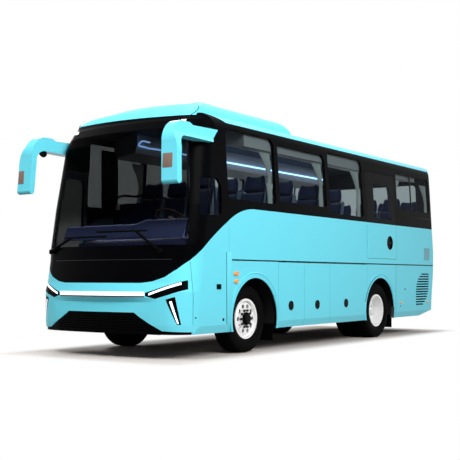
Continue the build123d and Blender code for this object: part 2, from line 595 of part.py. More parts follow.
front_x = HALF - FRONT_INSET - TYRE_W / 2
outer_x = HALF - REAR_INSET - TYRE_W / 2
inner_x = outer_x - TWIN_SPACING
mount_x = (outer_x + inner_x) / 2
BARREL = [(-118, 236), (-118, 266), (-105, 266), (-105, RIM_SEAT_R), (105, RIM_SEAT_R), (105, 266), (118, 266),
          (118, 236)]
front_rim = turned(BARREL, front_x)
FRONT_DISC = [(40, 236.5), (70, 236.5), (104, 200), (104, 90), (122, 80), (122, 60), (112, 0), (98, 0),
              (98, SPINDLE_R + SEAT), (-20, SPINDLE_R + SEAT), (-20, 92), (86, 92), (86, 190)]
front_rim = front_rim + turned(FRONT_DISC, front_x)
rear_rim = turned(BARREL, outer_x) + turned(BARREL, inner_x)
REAR_DISC = [(0, 110), (0, 205), (75, 236.5), (110, 236.5), (16, 195), (16, 112), (190, 96), (190, 0), (170, 0),
             (170, SPINDLE_R + SEAT), (-60, SPINDLE_R + SEAT), (-60, 110), (-16, 110), (-16, 195), (-110, 236.5),
             (-75, 236.5), (-0.5, 205), (-0.5, 110)]
rear_rim = rear_rim + turned(REAR_DISC, mount_x)
HAND_HOLES = 10
HOLE_PITCH_R = 168
for i in range(HAND_HOLES):
    a = math.radians(360 / HAND_HOLES * i)
    y, z = HOLE_PITCH_R * math.cos(a), HOLE_PITCH_R * math.sin(a)
    front_rim = front_rim - round_x(29, front_x + 60, front_x + 130, y, z)
    rear_rim = rear_rim - round_x(29, mount_x - 40, mount_x + 40, y, z)
front_tyre = turned(TYRE, front_x)
rear_tyres = [turned(TYRE, outer_x), turned(TYRE, inner_x)]
at_front = Pos(0, FRONT_AXLE_Y, TYRE_R)
at_rear = Pos(0, REAR_AXLE_Y, TYRE_R)
for side, turn in (("left", lambda s: s), ("right", other_side)):
    save("front_%s_rim" % side, at_front * turn(front_rim))
    save("front_%s_tyre" % side, at_front * turn(front_tyre))
    save("rear_%s_rims" % side, at_rear * turn(rear_rim))
    save("rear_%s_tyres" % side, *[at_rear * turn(t) for t in rear_tyres])

# Front axle, knuckles, rear axle, air springs and drive motor
EYE_H = 120
beam = block(-KINGPIN_X, KINGPIN_X, -40, 40, -45, 45)
for x in (-KINGPIN_X, KINGPIN_X):
    beam = beam + round_z(42, -EYE_H / 2, EYE_H / 2, x, 0) - round_z(KINGPIN_R + SEAT, -EYE_H, EYE_H, x, 0)
for x in (-RAIL_X, RAIL_X):
    beam = beam + block(x - 80, x + 80, -80, 80, 30, 70)
knuckle = round_z(KINGPIN_R, -100, 100, KINGPIN_X, 0)
for z in (-100, EYE_H / 2 + 2):
    knuckle = knuckle + block(KINGPIN_X - 40, KINGPIN_X + 75, -40, 40, z, z + 98 - EYE_H / 2)
knuckle = knuckle + block(KINGPIN_X + 46, KINGPIN_X + 75, -60, 60, -100, 100)
knuckle = knuckle + round_x(SPINDLE_R, KINGPIN_X + 60, front_x + 95, 0, 0)
axle = round_x(65, -560, 560, 0, 0) + round_x(SPINDLE_R, -(mount_x + 160), mount_x + 160, 0, 0)
axle = axle + round_x(170, -190, 190, 0, 0)
for x in (-RAIL_X, RAIL_X):
    axle = axle + block(x - 80, x + 80, -80, 80, 30, 85)
spring = round_z(75, 70 + SEAT, RAIL_Z - TYRE_R - SEAT, RAIL_X, 0)
rear_spring = round_z(75, 85 + SEAT, RAIL_Z - TYRE_R - SEAT, RAIL_X, 0)
motor = block(-260, 260, 170 + SEAT, 640, -150, 150)
save("front_axle", at_front * beam)
save("left_knuckle", at_front * knuckle)
save("right_knuckle", at_front * other_side(knuckle))
save("rear_axle", at_rear * axle)
save("air_springs", at_front * spring, at_front * other_side(spring), at_rear * rear_spring,
     at_rear * other_side(rear_spring))
save("drive_motor", at_rear * motor)

# Mirrors on their arms, outlined from the side and from the front
MIRROR_Y0 = NOSE_Y - MIRROR_REACH
MIRROR_SIDE = [(fy(-965), 2652), (fy(-835), 2800), ((fy(-822), 2818), (fy(-840), 2822)), (fy(-1330), 2812),
               ((fy(-1690), 2757), (MIRROR_Y0 + 25, 2560)), (MIRROR_Y0, 2140),
               ((MIRROR_Y0 + 12, 2092), (MIRROR_Y0 + 40, 2078)), (MIRROR_Y0 + 52, 2080),
               ((MIRROR_Y0 + 76, 2098), (MIRROR_Y0 + 86, 2130)), (MIRROR_Y0 + 112, 2540),
               ((MIRROR_Y0 + 165, 2632), (fy(-1520), 2660)), (fy(-1380), 2660)]
MIRROR_FRONT = [(HALF - 140, 2060), (HALF + 55, 2060), ((HALF + 78, 2072), (HALF + 90, 2105)), (HALF + 72, 2420),
                ((HALF + 45, 2600), (HALF - 15, 2700)), (HALF - 25, 2840), (HALF - 165, 2840), (HALF - 160, 2500)]
mirror_arm = (prism_x(MIRROR_SIDE, 1000, 1400) & prism_y(MIRROR_FRONT, MIRROR_Y0 - 100, fy(-800))) - outer
save("mirrors", mirror_arm, other_side(mirror_arm))

# Wipers: two arms with blades, lying along the screen's foot
# pivot x and z, elbow x and z, blade from x to x
WIPERS = [(872, 1310, 512, 1560, -100, 660), (-1000, 1330, -560, 1500, -700, 60)]
wiper_layer = body(-34) - body(-10)
wiper_foot = body(-34) - outer
wipers = []
for px, pz, ex, ez, bx0, bx1 in WIPERS:
    arm = wiper_layer & front_cut([(px, pz - 14), (px, pz + 14), (ex, ez + 10), (ex, ez - 10)])
    blade = wiper_layer & front_cut(rect(bx0, bx1, ez - 11, ez + 11))
    foot = wiper_foot & front_cut(rect(px - 22, px + 22, pz - 22, pz + 22))
    wipers.append(arm + blade + foot)
save("wipers", *wipers)

# Marker lamps: height of the lens, then outline; side ones in (y, z), front ones in (x, z)
LENS = 12
SIDE_MARKERS = [(fy(-449), 1043, 55, 40), (fy(-449), 944, 45, 36), (ry(837), 559, 38, 22), (ry(2000), 550, 38, 22)]
FRONT_MARKERS = [(900, 2930, 30, 18), (-900, 2930, 30, 18)]
lens_layer = body(-LENS) - outer
markers = []
for y, z, a, b in SIDE_MARKERS:
    lens = lens_layer & prism_x(rounded(rect(y - a, y + a, z - b / 2, z + b / 2), (b / 2.2,) * 4), 900, BIG)
    markers.extend([lens, other_side(lens)])
for x, z, a, b in FRONT_MARKERS:
    markers.append(lens_layer & front_cut(rect(x - a, x + a, z - b, z + b)))
save("marker_lamps", *markers)

# Cab and saloon
dash_line = [(NOSE_Y, DECK_Z), (fy(-1000), DECK_Z), (fy(-960), 1400), (fy(-1060), 1500), (NOSE_Y, 1400)]
WHEEL_X = 620
at_wheel = Pos(WHEEL_X, fy(-985), 1720) * Rot(-35, 0, 0)
steering = at_wheel * (Torus(215, 14) + Cylinder(50, 40) + Box(420, 30, 14) + Pos(0, 0, -200) * Cylinder(26, 400))
dashboard = lining & prism_x(dash_line, -480, BIG)
save("dashboard", dashboard)
save("steering_wheel", steering - dashboard)
SEAT_W = 430
seat_profile = [(-100, 0), (100, 0), (100, 300), (230, 330), (300, 480), (430, 1100), (390, 1160), (330, 1140),
                (190, 560), (120, 470), (-240, 480), (-250, 400), (-100, 320)]
SEAT_X = (-900, -450, 450, 900)
ROW_Y, ROW_PITCH = fy(180), 746
BENCH_Y = ry(1600)
seats = []


def seat(x, y):
    line = [(y + p, DECK_Z + SEAT + q) for p, q in seat_profile]
    return prism_x(line, x - SEAT_W / 2, x + SEAT_W / 2)


for i in range(int((BENCH_Y - ROW_Y - 700) / ROW_PITCH) + 1):
    y = ROW_Y + i * ROW_PITCH
    clear = y + 430 < EXIT_Y[0] or y - 225 > EXIT_Y[1]
    for x in SEAT_X if clear else SEAT_X[:2]:
        seats.append(seat(x, y))
for x in SEAT_X + (0,):
    seats.append(seat(x, BENCH_Y))
seats.append(seat(WHEEL_X, fy(-630)))
save("seats", *seats)
rack = prism_y([(700, 3200), (690, 2860), (740, 2770), (1300, 2690), (1300, 3200)], fy(-110), ry(1650)) & lining
save("luggage_racks", rack, other_side(rack))
partition = block(260, 1080, fy(-180), fy(-155), DECK_Z + SEAT, 1800)
partition = partition + round_z(18, DECK_Z + SEAT, 3200, 260, fy(-168))
save("cab_partition", partition & lining)
curtains = []
cloth = lining - body(WALL + SEAT + 35)
for y0, y1 in [(p[1] - 130, p[1]) for p in PANES] + [(PANES[3][0], PANES[3][0] + 120)]:
    curtain = cloth & block(0, BIG, y0, y1, 1930, 2690)
    curtains.extend([curtain, other_side(curtain)])
save("curtains", *curtains)
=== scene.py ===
"""Looks of the electric coach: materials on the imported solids, and the soft and small pieces around them."""
import math

import bmesh
import bpy
from mathutils import Matrix, Vector


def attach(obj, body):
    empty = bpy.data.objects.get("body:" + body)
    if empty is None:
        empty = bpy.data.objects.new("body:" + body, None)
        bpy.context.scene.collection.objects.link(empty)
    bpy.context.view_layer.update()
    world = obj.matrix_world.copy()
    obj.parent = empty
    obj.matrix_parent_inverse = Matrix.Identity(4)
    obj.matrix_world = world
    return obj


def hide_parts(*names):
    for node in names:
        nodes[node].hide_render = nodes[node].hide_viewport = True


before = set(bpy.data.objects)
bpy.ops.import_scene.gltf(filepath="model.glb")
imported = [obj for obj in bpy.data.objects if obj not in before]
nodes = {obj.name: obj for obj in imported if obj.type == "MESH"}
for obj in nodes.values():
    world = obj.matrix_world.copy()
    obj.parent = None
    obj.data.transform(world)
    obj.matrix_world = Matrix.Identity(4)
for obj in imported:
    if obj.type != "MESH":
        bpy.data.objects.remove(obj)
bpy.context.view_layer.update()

# Places in metres, in the frame of the solids
FRONT_AXLE_Y = -2.245
REAR_AXLE_Y = 1.555
TYRE_R = 0.447
FRONT_X = 0.9785
OUTER_X = 1.0535
INNER_X = 0.7355
MOUNT_X = 0.8945
HALF = 1.240
WAIST_Z = 1.885
SIDE_TOP_Z = 2.850
DECK_Z = 1.050
BELT_Z = 1.2005
ARCH_R = 0.5425
SIDES = (("left", 1), ("right", -1))


def front(y):
    """A place behind the front axle, given in metres."""
    return FRONT_AXLE_Y + y


# Materials

def linear(code):
    """sRGB hex value to linear colour."""
    parts = [int(code[i:i + 2], 16) / 255 for i in (0, 2, 4)]
    return tuple(c / 12.92 if c <= 0.04045 else ((c + 0.055) / 1.055) ** 2.4 for c in parts) + (1.0,)


def wire(node, inputs):
    """Feeds a node's inputs, each from a value, a socket, or another node's first output."""
    for name, value in inputs.items():
        if isinstance(value, bpy.types.Node):
            value = value.outputs[0]
        if isinstance(value, bpy.types.NodeSocket):
            node.id_data.links.new(value, node.inputs[name])
        else:
            node.inputs[name].default_value = value


def add(tree, kind, inputs=None, **settings):
    """One shader node with its settings and what feeds it."""
    made = tree.nodes.new("ShaderNode" + kind)
    for name, value in settings.items():
        setattr(made, name, value)
    wire(made, inputs or {})
    return made


def bare_tree(owner):
    """The emptied node tree of a material or of the world."""
    owner.use_nodes = True
    owner.node_tree.nodes.clear()
    return owner.node_tree


def new_material(name, inputs):
    """A material whose surface is one Principled shader, and the place of a point on its object."""
    mat = bpy.data.materials.new(name)
    tree = bare_tree(mat)
    shader = add(tree, "BsdfPrincipled", inputs)
    add(tree, "OutputMaterial", {"Surface": shader})
    return mat, tree, shader, add(tree, "TexCoord").outputs["Object"]


SALOON_MIDDLE = (0, 0, 1.7)
SALOON_SHAPE = (0.8, 0.25, 0.72)


def facing_in(tree):
    """1 on faces that look into the body, 0 on the outside."""
    coord = add(tree, "TexCoord")
    middle = add(tree, "VectorMath", {0: coord.outputs["Object"], 1: SALOON_MIDDLE}, operation="SUBTRACT")
    spread = add(tree, "VectorMath", {0: middle, 1: SALOON_SHAPE}, operation="MULTIPLY")
    outward = add(tree, "VectorMath", {0: spread, 1: coord.outputs["Normal"]}, operation="DOT_PRODUCT")
    return add(tree, "Math", {0: outward.outputs["Value"], 1: -0.45}, operation="LESS_THAN")


def seen_plainly(tree):
    """1 for rays that show a surface to the eye: straight, mirrored or through glass."""
    rays = add(tree, "LightPath").outputs
    seen = add(tree, "Math", {0: rays["Is Camera Ray"], 1: rays["Is Glossy Ray"]}, operation="MAXIMUM")
    return add(tree, "Math", {0: seen, 1: rays["Is Transmission Ray"]}, operation="MAXIMUM")


CYAN = linear("72E8FC")
LINING = linear("3B4149")
BLACK = linear("06070A")
# Edge of the black on the doors: where it starts, and its rise per metre; foot of the pod's front
EDGE_Y, EDGE_Z, EDGE_RISE = -1.330, 1.205, 0.713
BROW_Y, BROW_Z, BROW_FALL = -3.22, 3.022, -0.012


def cyan_enamel(name, lined=True, two_tone=False, belt=False, brow=False):
    """Two-pack enamel, sprayed and polished: even cyan, a soft gloss, faint orange peel, road film low down.
    Panels are lined with grey vinyl inside; the turned-in edges of their wheel arches are matt black as
    painted shade. Doors are black above the window line, hatches above the belt."""
    mat, tree, shader, place = new_material(name, {"Roughness": 0.25, "Specular IOR Level": 0.10,
                                                   "Coat Weight": 0.03, "Coat Roughness": 0.04})
    split = add(tree, "SeparateXYZ", {0: place}).outputs
    # patches of polish about 400 mm wide
    cloud = add(tree, "TexNoise", {"Vector": place, "Scale": 1 / 0.4, "Detail": 2.0})
    polish = add(tree, "MapRange", {"Value": cloud.outputs["Fac"], "To Max": 0.10})
    colour = add(tree, "Mix", {"Factor": polish, 6: CYAN, 7: linear("64DCF0")}, data_type="RGBA")
    # road film: grows from 700 mm down to the sill
    film = add(tree, "MapRange", {"Value": split["Z"], "From Min": 0.7, "From Max": 0.25, "To Max": 0.10})
    colour = add(tree, "Mix", {"Factor": film, 6: colour.outputs[2], 7: linear("8FA7AC")}, data_type="RGBA")
    # orange peel, about 6 mm from crest to crest
    peel = add(tree, "TexNoise", {"Vector": place, "Scale": 1 / 0.006, "Detail": 1.0})
    bump = add(tree, "Bump", {"Height": peel.outputs["Fac"], "Strength": 0.02, "Distance": 0.001})
    wire(shader, {"Base Color": colour.outputs[2], "Normal": bump})
    surface = shader

    def covered(where, finish, rough, shine):
        """The surface so far, with another colour over it: black paint, grey lining, and painted shade in the
        wheel arches.
        """
        coat = add(tree, "BsdfPrincipled", {"Base Color": finish, "Roughness": rough,
                                            "Specular IOR Level": shine})
        return add(tree, "MixShader", {0: where, 1: surface, 2: coat})

    if two_tone or belt:
        # the black edge rises from the seam at the front of the door, then follows the waist
        foot_z = EDGE_Z - front(EDGE_Y) * EDGE_RISE
        slope = add(tree, "Math", {0: split["Y"], 1: EDGE_RISE, 2: foot_z}, operation="MULTIPLY_ADD")
        line = add(tree, "Math", {0: slope, 1: BELT_Z if belt else WAIST_Z}, operation="MINIMUM")
        over = add(tree, "Math", {0: split["Z"], 1: line}, operation="GREATER_THAN")
        surface = covered(over, BLACK, 0.3, 0.02)
    if brow:
        # the foot of the pod's front is black like the mask, a little more on the right
        line = add(tree, "Math", {0: split["X"], 1: BROW_FALL, 2: BROW_Z}, operation="MULTIPLY_ADD")
        under = add(tree, "Math", {0: split["Z"], 1: line}, operation="LESS_THAN")
        ahead = add(tree, "Math", {0: split["Y"], 1: BROW_Y}, operation="LESS_THAN")
        foot = add(tree, "Math", {0: under, 1: ahead}, operation="MULTIPLY")
        surface = covered(foot, BLACK, 0.3, 0.02)
    if lined:
        # painted shade: the turned-in edges of the wheel arches, about either axle, are made matt black in
        # place of the shade inside the arches
        reach = add(tree, "Math", {0: split["Y"], 1: -(FRONT_AXLE_Y + REAR_AXLE_Y) / 2}, operation="ADD")
        reach = add(tree, "Math", {0: reach}, operation="ABSOLUTE")
        reach = add(tree, "Math", {0: reach, 1: (FRONT_AXLE_Y - REAR_AXLE_Y) / 2}, operation="ADD")
        rise = add(tree, "Math", {0: split["Z"], 1: -TYRE_R}, operation="ADD")
        spoke = add(tree, "CombineXYZ", {0: reach, 1: rise})
        spoke = add(tree, "VectorMath", {0: spoke}, operation="LENGTH")
        within = add(tree, "Math", {0: spoke.outputs["Value"], 1: ARCH_R}, operation="LESS_THAN")
        wide = add(tree, "Math", {0: split["X"]}, operation="ABSOLUTE")
        deep = add(tree, "Math", {0: wide, 1: HALF - 0.003}, operation="LESS_THAN")
        arch = add(tree, "Math", {0: within, 1: deep}, operation="MULTIPLY")
        surface = covered(arch, BLACK, 0.8, 0.05)
        surface = covered(facing_in(tree), LINING, 0.7, 0.2)
    wire(tree.nodes["Material Output"], {"Surface": surface})
    return mat


def tinted_glass(name, tint, shine, foot=None):
    """Toughened float glass with a grey tint: clear, mirrors at a glance; a screen is clearer at its foot."""
    mat = bpy.data.materials.new(name)
    tree = bare_tree(mat)
    clear = add(tree, "BsdfTransparent", {"Color": linear(tint)})
    if foot:
        place = add(tree, "TexCoord").outputs["Object"]
        height = add(tree, "SeparateXYZ", {0: place}).outputs["Z"]
        # the band of tint starts 1.62 m up and is full at 1.82 m
        band = add(tree, "MapRange", {"Value": height, "From Min": 1.62, "From Max": 1.82})
        colour = add(tree, "Mix", {"Factor": band, 6: linear(foot), 7: linear(tint)}, data_type="RGBA")
        wire(clear, {"Color": colour.outputs[2]})
    gloss = add(tree, "BsdfPrincipled", {"Base Color": BLACK, "Roughness": 0.03, "Specular IOR Level": shine})
    rim = add(tree, "Fresnel", {"IOR": 1.25})
    # only the side that faces out mirrors
    behind = add(tree, "NewGeometry").outputs["Backfacing"]
    front_side = add(tree, "Math", {0: 1.0, 1: behind}, operation="SUBTRACT")
    mirror = add(tree, "Math", {0: rim, 1: front_side}, operation="MULTIPLY")
    mix = add(tree, "MixShader", {0: mirror, 1: clear, 2: gloss})
    add(tree, "OutputMaterial", {"Surface": mix})
    return mat


def tyre_rubber():
    """Carbon-black tyre rubber, moulded: near black, matt, dusty at the tread."""
    mat, tree, shader, place = new_material("tyre_rubber", {"Specular IOR Level": 0.03})
    dust = add(tree, "TexNoise", {"Vector": place, "Scale": 1 / 0.05, "Detail": 4.0}).outputs["Fac"]
    colour = add(tree, "Mix", {"Factor": dust, 6: linear("060607"), 7: linear("0E0E0E")}, data_type="RGBA")
    rough = add(tree, "MapRange", {"Value": dust, "To Min": 0.6, "To Max": 0.9})
    grain = add(tree, "TexNoise", {"Vector": place, "Scale": 1 / 0.004, "Detail": 2.0}).outputs["Fac"]
    bump = add(tree, "Bump", {"Height": grain, "Strength": 0.15, "Distance": 0.001})
    wire(shader, {"Base Color": colour.outputs[2], "Roughness": rough, "Normal": bump})
    return mat


def polished_alloy(name, axle_y):
    """Forged aluminium wheel, turned and polished: bright, with fine turning rings about the axle."""
    mat, tree, shader, place = new_material(name, {"Metallic": 0.25, "Base Color": linear("FDFDFD")})
    centred = add(tree, "Mapping", {"Vector": place, "Location": (0, -axle_y, -TYRE_R)})
    # turning marks, drawn 8 mm apart so that they show
    rings = add(tree, "TexWave", {"Vector": centred, "Scale": 1 / 0.008 / 6.28, "Distortion": 0.2},
                wave_type="RINGS", rings_direction="X").outputs["Fac"]
    rough = add(tree, "MapRange", {"Value": rings, "To Min": 0.24, "To Max": 0.32})
    bump = add(tree, "Bump", {"Height": rings, "Strength": 0.02, "Distance": 0.0005})
    wire(shader, {"Roughness": rough, "Normal": bump})
    return mat


def speckled(name, dark, light, size, rough, specular=0.4, metal=0.0, bump=0.2, spread=0.08):
    """A moulded or painted surface: two near shades in grains of `size` metres, with gloss and bump."""
    mat, tree, shader, place = new_material(name, {"Metallic": metal, "Specular IOR Level": specular})
    grain = add(tree, "TexNoise", {"Vector": place, "Scale": 1 / size, "Detail": 3.0}).outputs["Fac"]
    colour = add(tree, "Mix", {"Factor": grain, 6: linear(dark), 7: linear(light)}, data_type="RGBA")
    wear = add(tree, "MapRange", {"Value": grain, "To Min": rough - spread, "To Max": rough + spread})
    wire(shader, {"Base Color": colour.outputs[2], "Roughness": wear})
    if bump:
        height = add(tree, "Bump", {"Height": grain, "Strength": bump, "Distance": 0.001})
        wire(shader, {"Normal": height})
    return mat


def lit_lens(name, colour, glow, strength):
    """Acrylic lens, moulded with fine flutes, lit from behind; on the tail's reflectors, which hold no lamp,
    the glow is painted light.
    """
    looks = {"Base Color": linear(colour), "Roughness": 0.12, "Coat Weight": 0.5,
             "Emission Color": linear(glow), "Emission Strength": strength}
    mat, tree, shader, place = new_material(name, looks)
    # flutes 12 mm apart
    flutes = add(tree, "TexWave", {"Vector": place, "Scale": 1 / 0.012 / 6.28}, bands_direction="DIAGONAL")
    bump = add(tree, "Bump", {"Height": flutes.outputs["Fac"], "Strength": 0.2, "Distance": 0.001})
    wire(shader, {"Normal": bump})
    return mat


LIGHT_BAR_HALF = 0.707


def placed_lens(name, near, far, axis, limit, level):
    """Acrylic lens in two colours and levels of light: `near` below a limit on an axis, `far` beyond it."""
    mat = lit_lens(name, near, near, level[0])
    tree = mat.node_tree
    split = add(tree, "SeparateXYZ", {0: add(tree, "TexCoord").outputs["Object"]}).outputs
    beyond = add(tree, "Math", {0: split[axis], 1: limit}, operation="GREATER_THAN")
    if axis == "Z":
        # lamps at the corners are lit all over
        wide = add(tree, "Math", {0: split["X"]}, operation="ABSOLUTE")
        corner = add(tree, "Math", {0: wide, 1: LIGHT_BAR_HALF}, operation="GREATER_THAN")
        beyond = add(tree, "Math", {0: beyond, 1: corner}, operation="MAXIMUM")
    mix = add(tree, "Mix", {"Factor": beyond, 6: linear(near), 7: linear(far)}, data_type="RGBA")
    glow = add(tree, "MapRange", {"Value": beyond, "To Min": level[0], "To Max": level[1]})
    wire(tree.nodes["Principled BSDF"], {"Base Color": mix.outputs[2], "Emission Color": mix.outputs[2],
                                         "Emission Strength": glow})
    return mat


def woven(name, dark, light, thread, sheen):
    """Woven cloth: two threads crossing at right angles, matt with a soft sheen."""
    mat, tree, shader, place = new_material(name, {"Roughness": 0.9, "Specular IOR Level": 0.15,
                                                   "Sheen Weight": sheen})
    warp = add(tree, "TexWave", {"Vector": place, "Scale": 1 / thread / 6.28}, bands_direction="Z")
    weft = add(tree, "TexWave", {"Vector": place, "Scale": 1 / thread / 6.28}, bands_direction="DIAGONAL")
    cloth = add(tree, "Math", {0: warp.outputs["Fac"], 1: weft.outputs["Fac"]}, operation="MULTIPLY")
    colour = add(tree, "Mix", {"Factor": cloth, 6: linear(dark), 7: linear(light)}, data_type="RGBA")
    bump = add(tree, "Bump", {"Height": cloth, "Strength": 0.3, "Distance": 0.001})
    wire(shader, {"Base Color": colour.outputs[2], "Normal": bump})
    return mat


ENAMEL = cyan_enamel("body_paint")
DOOR_ENAMEL = cyan_enamel("two_tone_enamel", two_tone=True)
HATCH_ENAMEL = cyan_enamel("hatch_enamel", belt=True)
SOLID_ENAMEL = cyan_enamel("cyan_moulding_enamel", lined=False)
POD_ENAMEL = cyan_enamel("pod_enamel", lined=False, brow=True)
# Piano-black lacquer over moulded panels: deep black, soft reflections, faint haze
LACQUER = speckled("black_lacquer", "010102", "040507", 0.25, 0.3, 0.015, 0.0, 0.0, 0.05)
SIDE_GLASS = tinted_glass("grey_side_glass", "DADFE0", 0.3)
SCREEN_GLASS = tinted_glass("dark_screen_glass", "969696", 0.2, "C8C8C8")
DOOR_GLASS = tinted_glass("dark_door_glass", "9C9E9E", 0.3)
TYRE = tyre_rubber()
FRONT_ALLOY = polished_alloy("polished_front_alloy", FRONT_AXLE_Y)
REAR_ALLOY = polished_alloy("polished_rear_alloy", REAR_AXLE_Y)
CHASSIS = speckled("chassis_paint", "0A0A0B", "161617", 0.02, 0.55)
RUBBER = speckled("moulded_rubber", "050506", "0A0A0B", 0.006, 0.75, 0.02)
ABS = speckled("black_abs", "040405", "08080A", 0.003, 0.45, 0.05)
STEEL = speckled("bright_steel", "C9CCD0", "E2E4E6", 0.004, 0.25, 0.5, 1.0, 0.05)
PACK_STEEL = speckled("grey_pack_steel", "55595E", "666A70", 0.03, 0.5)
DASH = speckled("dash_plastic", "3A4270", "4C568C", 0.003, 0.6, 0.3)
WHEEL_HIDE = speckled("brown_wheel_leather", "5A4A1E", "6E5C2A", 0.004, 0.5, 0.3)
TRIM_PANEL = speckled("navy_trim_board", "1C2547", "283360", 0.004, 0.6, 0.3)
PATCH = speckled("smoked_cover", "7A6157", "8A7064", 0.004, 0.3, 0.4)
WHITE_ABS = speckled("white_abs", "E4E6E8", "F2F3F4", 0.004, 0.4, 0.4)
SILVERING = speckled("mirror_silvering", "C8CED2", "D2D8DC", 0.2, 0.09, 0.5, 1.0, 0.0)
RACK = speckled("rack_plastic", "B4B6B8", "C4C6C8", 0.004, 0.5, 0.3)
VINYL = speckled("floor_vinyl", "3A3B3F", "4A4B50", 0.008, 0.6, 0.3)
RAIL = speckled("dark_anodised_rail", "1A1C1F", "2A2D31", 0.004, 0.4, 0.5, 0.6, 0.05)
LED = placed_lens("led_diffuser", "10203A", "F2F8FF", "Z", 0.771, (0.02, 1.1))
STRIP_LED = lit_lens("ceiling_led", "DCEBFF", "8CBEFF", 5.5)
RUBY = lit_lens("ruby_acrylic", "A0060A", "C8080C", 0.16)
AMBER = lit_lens("amber_acrylic", "F08A1C", "F08A1C", 0.25)
MARKER = placed_lens("marker_acrylic", "F4F6F8", "F08A1C", "Y", -3.3, (0.7, 0.3))
SEAT_CLOTH = woven("navy_seat_cloth", "16213F", "2A3A68", 0.006, 0.3)
SEAT_TRIM = speckled("grey_seat_leather", "5A6A80", "6E7F96", 0.004, 0.6, 0.3)
CURTAIN_CLOTH = woven("grey_green_curtain", "D2DAD5", "EEF2EE", 0.006, 0.2)
# the vent flap's teal is the body cyan made darker: painted shade for the shadows its louvres cast
MESH = speckled("vent_teal_painted_shade", "78B4C0", "8CC4D0", 0.004, 0.5, 0.3)
HOOD = speckled("blue_dash_skin", "5C6CA8", "6C7CBA", 0.003, 0.7, 0.2)

DRESS = {
    ENAMEL: ["waist_panels", "roof_panel", "wheel_arch_panels", "corner_panels", "front_bumper", "rear_panel",
             "motor_lid", "rear_bumper"],
    HATCH_ENAMEL: ["%s_hatch_%d" % (side, bay) for side, _ in SIDES for bay in (1, 2, 3)],
    DOOR_ENAMEL: ["passenger_door", "emergency_door"],
    SOLID_ENAMEL: ["mirrors"],
    POD_ENAMEL: ["roof_pod"],
    LACQUER: ["window_bands", "front_mask", "headlamps", "lower_grille"],
    SIDE_GLASS: ["side_glass", "emergency_door_glass", "rear_window"],
    DOOR_GLASS: ["passenger_door_glass"],
    SCREEN_GLASS: ["windscreen"],
    FRONT_ALLOY: ["front_left_rim", "front_right_rim"],
    REAR_ALLOY: ["rear_left_rims", "rear_right_rims"],
    CHASSIS: ["underframe", "front_axle", "rear_axle", "left_knuckle", "right_knuckle", "door_arms",
              "towing_eye"],
    RUBBER: ["mud_flaps", "air_springs", "wipers"],
    PACK_STEEL: ["battery_packs", "drive_motor"],
    DASH: ["dashboard"],
    WHEEL_HIDE: ["steering_wheel"],
    RACK: ["luggage_racks", "cab_partition"],
    VINYL: ["floor_deck"],
    RAIL: ["belt_rails"],
    LED: ["lamp_strips"],
    RUBY: ["tail_lamps"],
    MARKER: ["marker_lamps"],
}
for material, names in DRESS.items():
    for name in names:
        for slot in nodes[name].material_slots:
            slot.material = material


# Modelling helpers

def begin():
    """Object mode with nothing selected."""
    if bpy.context.mode != "OBJECT":
        bpy.ops.object.mode_set(mode="OBJECT")
    bpy.ops.object.select_all(action="DESELECT")


def alone(obj):
    """Selects one object and no other."""
    begin()
    bpy.context.view_layer.objects.active = obj
    obj.select_set(True)


def edit(obj):
    """Edit mode on one object, with nothing selected in it."""
    alone(obj)
    bpy.ops.object.mode_set(mode="EDIT")
    bpy.ops.mesh.select_all(action="DESELECT")


def pick(obj, test):
    """Selects the faces of the mesh in edit mode that pass the test."""
    bpy.ops.mesh.select_mode(type="FACE")
    mesh = bmesh.from_edit_mesh(obj.data)
    for face in mesh.faces:
        face.select = bool(test(face))
    mesh.select_flush_mode()
    bmesh.update_edit_mesh(obj.data)


def settle(obj, name, material, body="body", angle=35):
    """Applies place and modifiers, smooths, names, dresses and seats a finished piece on its body."""
    alone(obj)
    obj.name = name
    obj.data.name = name
    for modifier in list(obj.modifiers):
        bpy.ops.object.modifier_apply(modifier=modifier.name)
    bpy.ops.object.transform_apply()
    bpy.ops.object.shade_smooth_by_angle(angle=math.radians(angle))
    obj.data.materials.clear()
    obj.data.materials.append(material)
    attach(obj, body)
    return obj


def joined(pieces):
    """One object from several."""
    begin()
    for piece in pieces:
        piece.select_set(True)
    bpy.context.view_layer.objects.active = pieces[0]
    bpy.ops.object.join()
    return pieces[0]


def copies(obj, moves):
    """Copies of a piece at several places, each with its own mesh; the piece itself goes."""
    made = []
    for move in moves:
        copy = obj.copy()
        copy.data = obj.data.copy()
        bpy.context.scene.collection.objects.link(copy)
        copy.data.transform(move)
        made.append(copy)
    bpy.data.objects.remove(obj)
    return made


MIRROR = Matrix.Diagonal((-1, 1, 1, 1))


def outward(obj):
    """Normals of a closed mesh turned to the outside."""
    edit(obj)
    bpy.ops.mesh.select_all(action="SELECT")
    bpy.ops.mesh.remove_doubles(threshold=1e-5)
    bpy.ops.mesh.normals_make_consistent(inside=False)
    begin()


def block(size, centre, round_off=0.003, segments=2):
    """A box with rounded edges."""
    begin()
    bpy.ops.mesh.primitive_cube_add(size=1, location=centre, scale=size)
    obj = bpy.context.object
    bpy.ops.object.transform_apply()
    edit(obj)
    bpy.ops.mesh.select_all(action="SELECT")
    bpy.ops.mesh.bevel(offset=round_off, segments=segments)
    begin()
    return obj


def sunk(obj, test, *steps):
    """Insets the faces that pass a test, in steps, and moves them after each."""
    edit(obj)
    pick(obj, test)
    for inset, move in steps:
        bpy.ops.mesh.inset(thickness=inset)
        bpy.ops.transform.translate(value=move)
    begin()


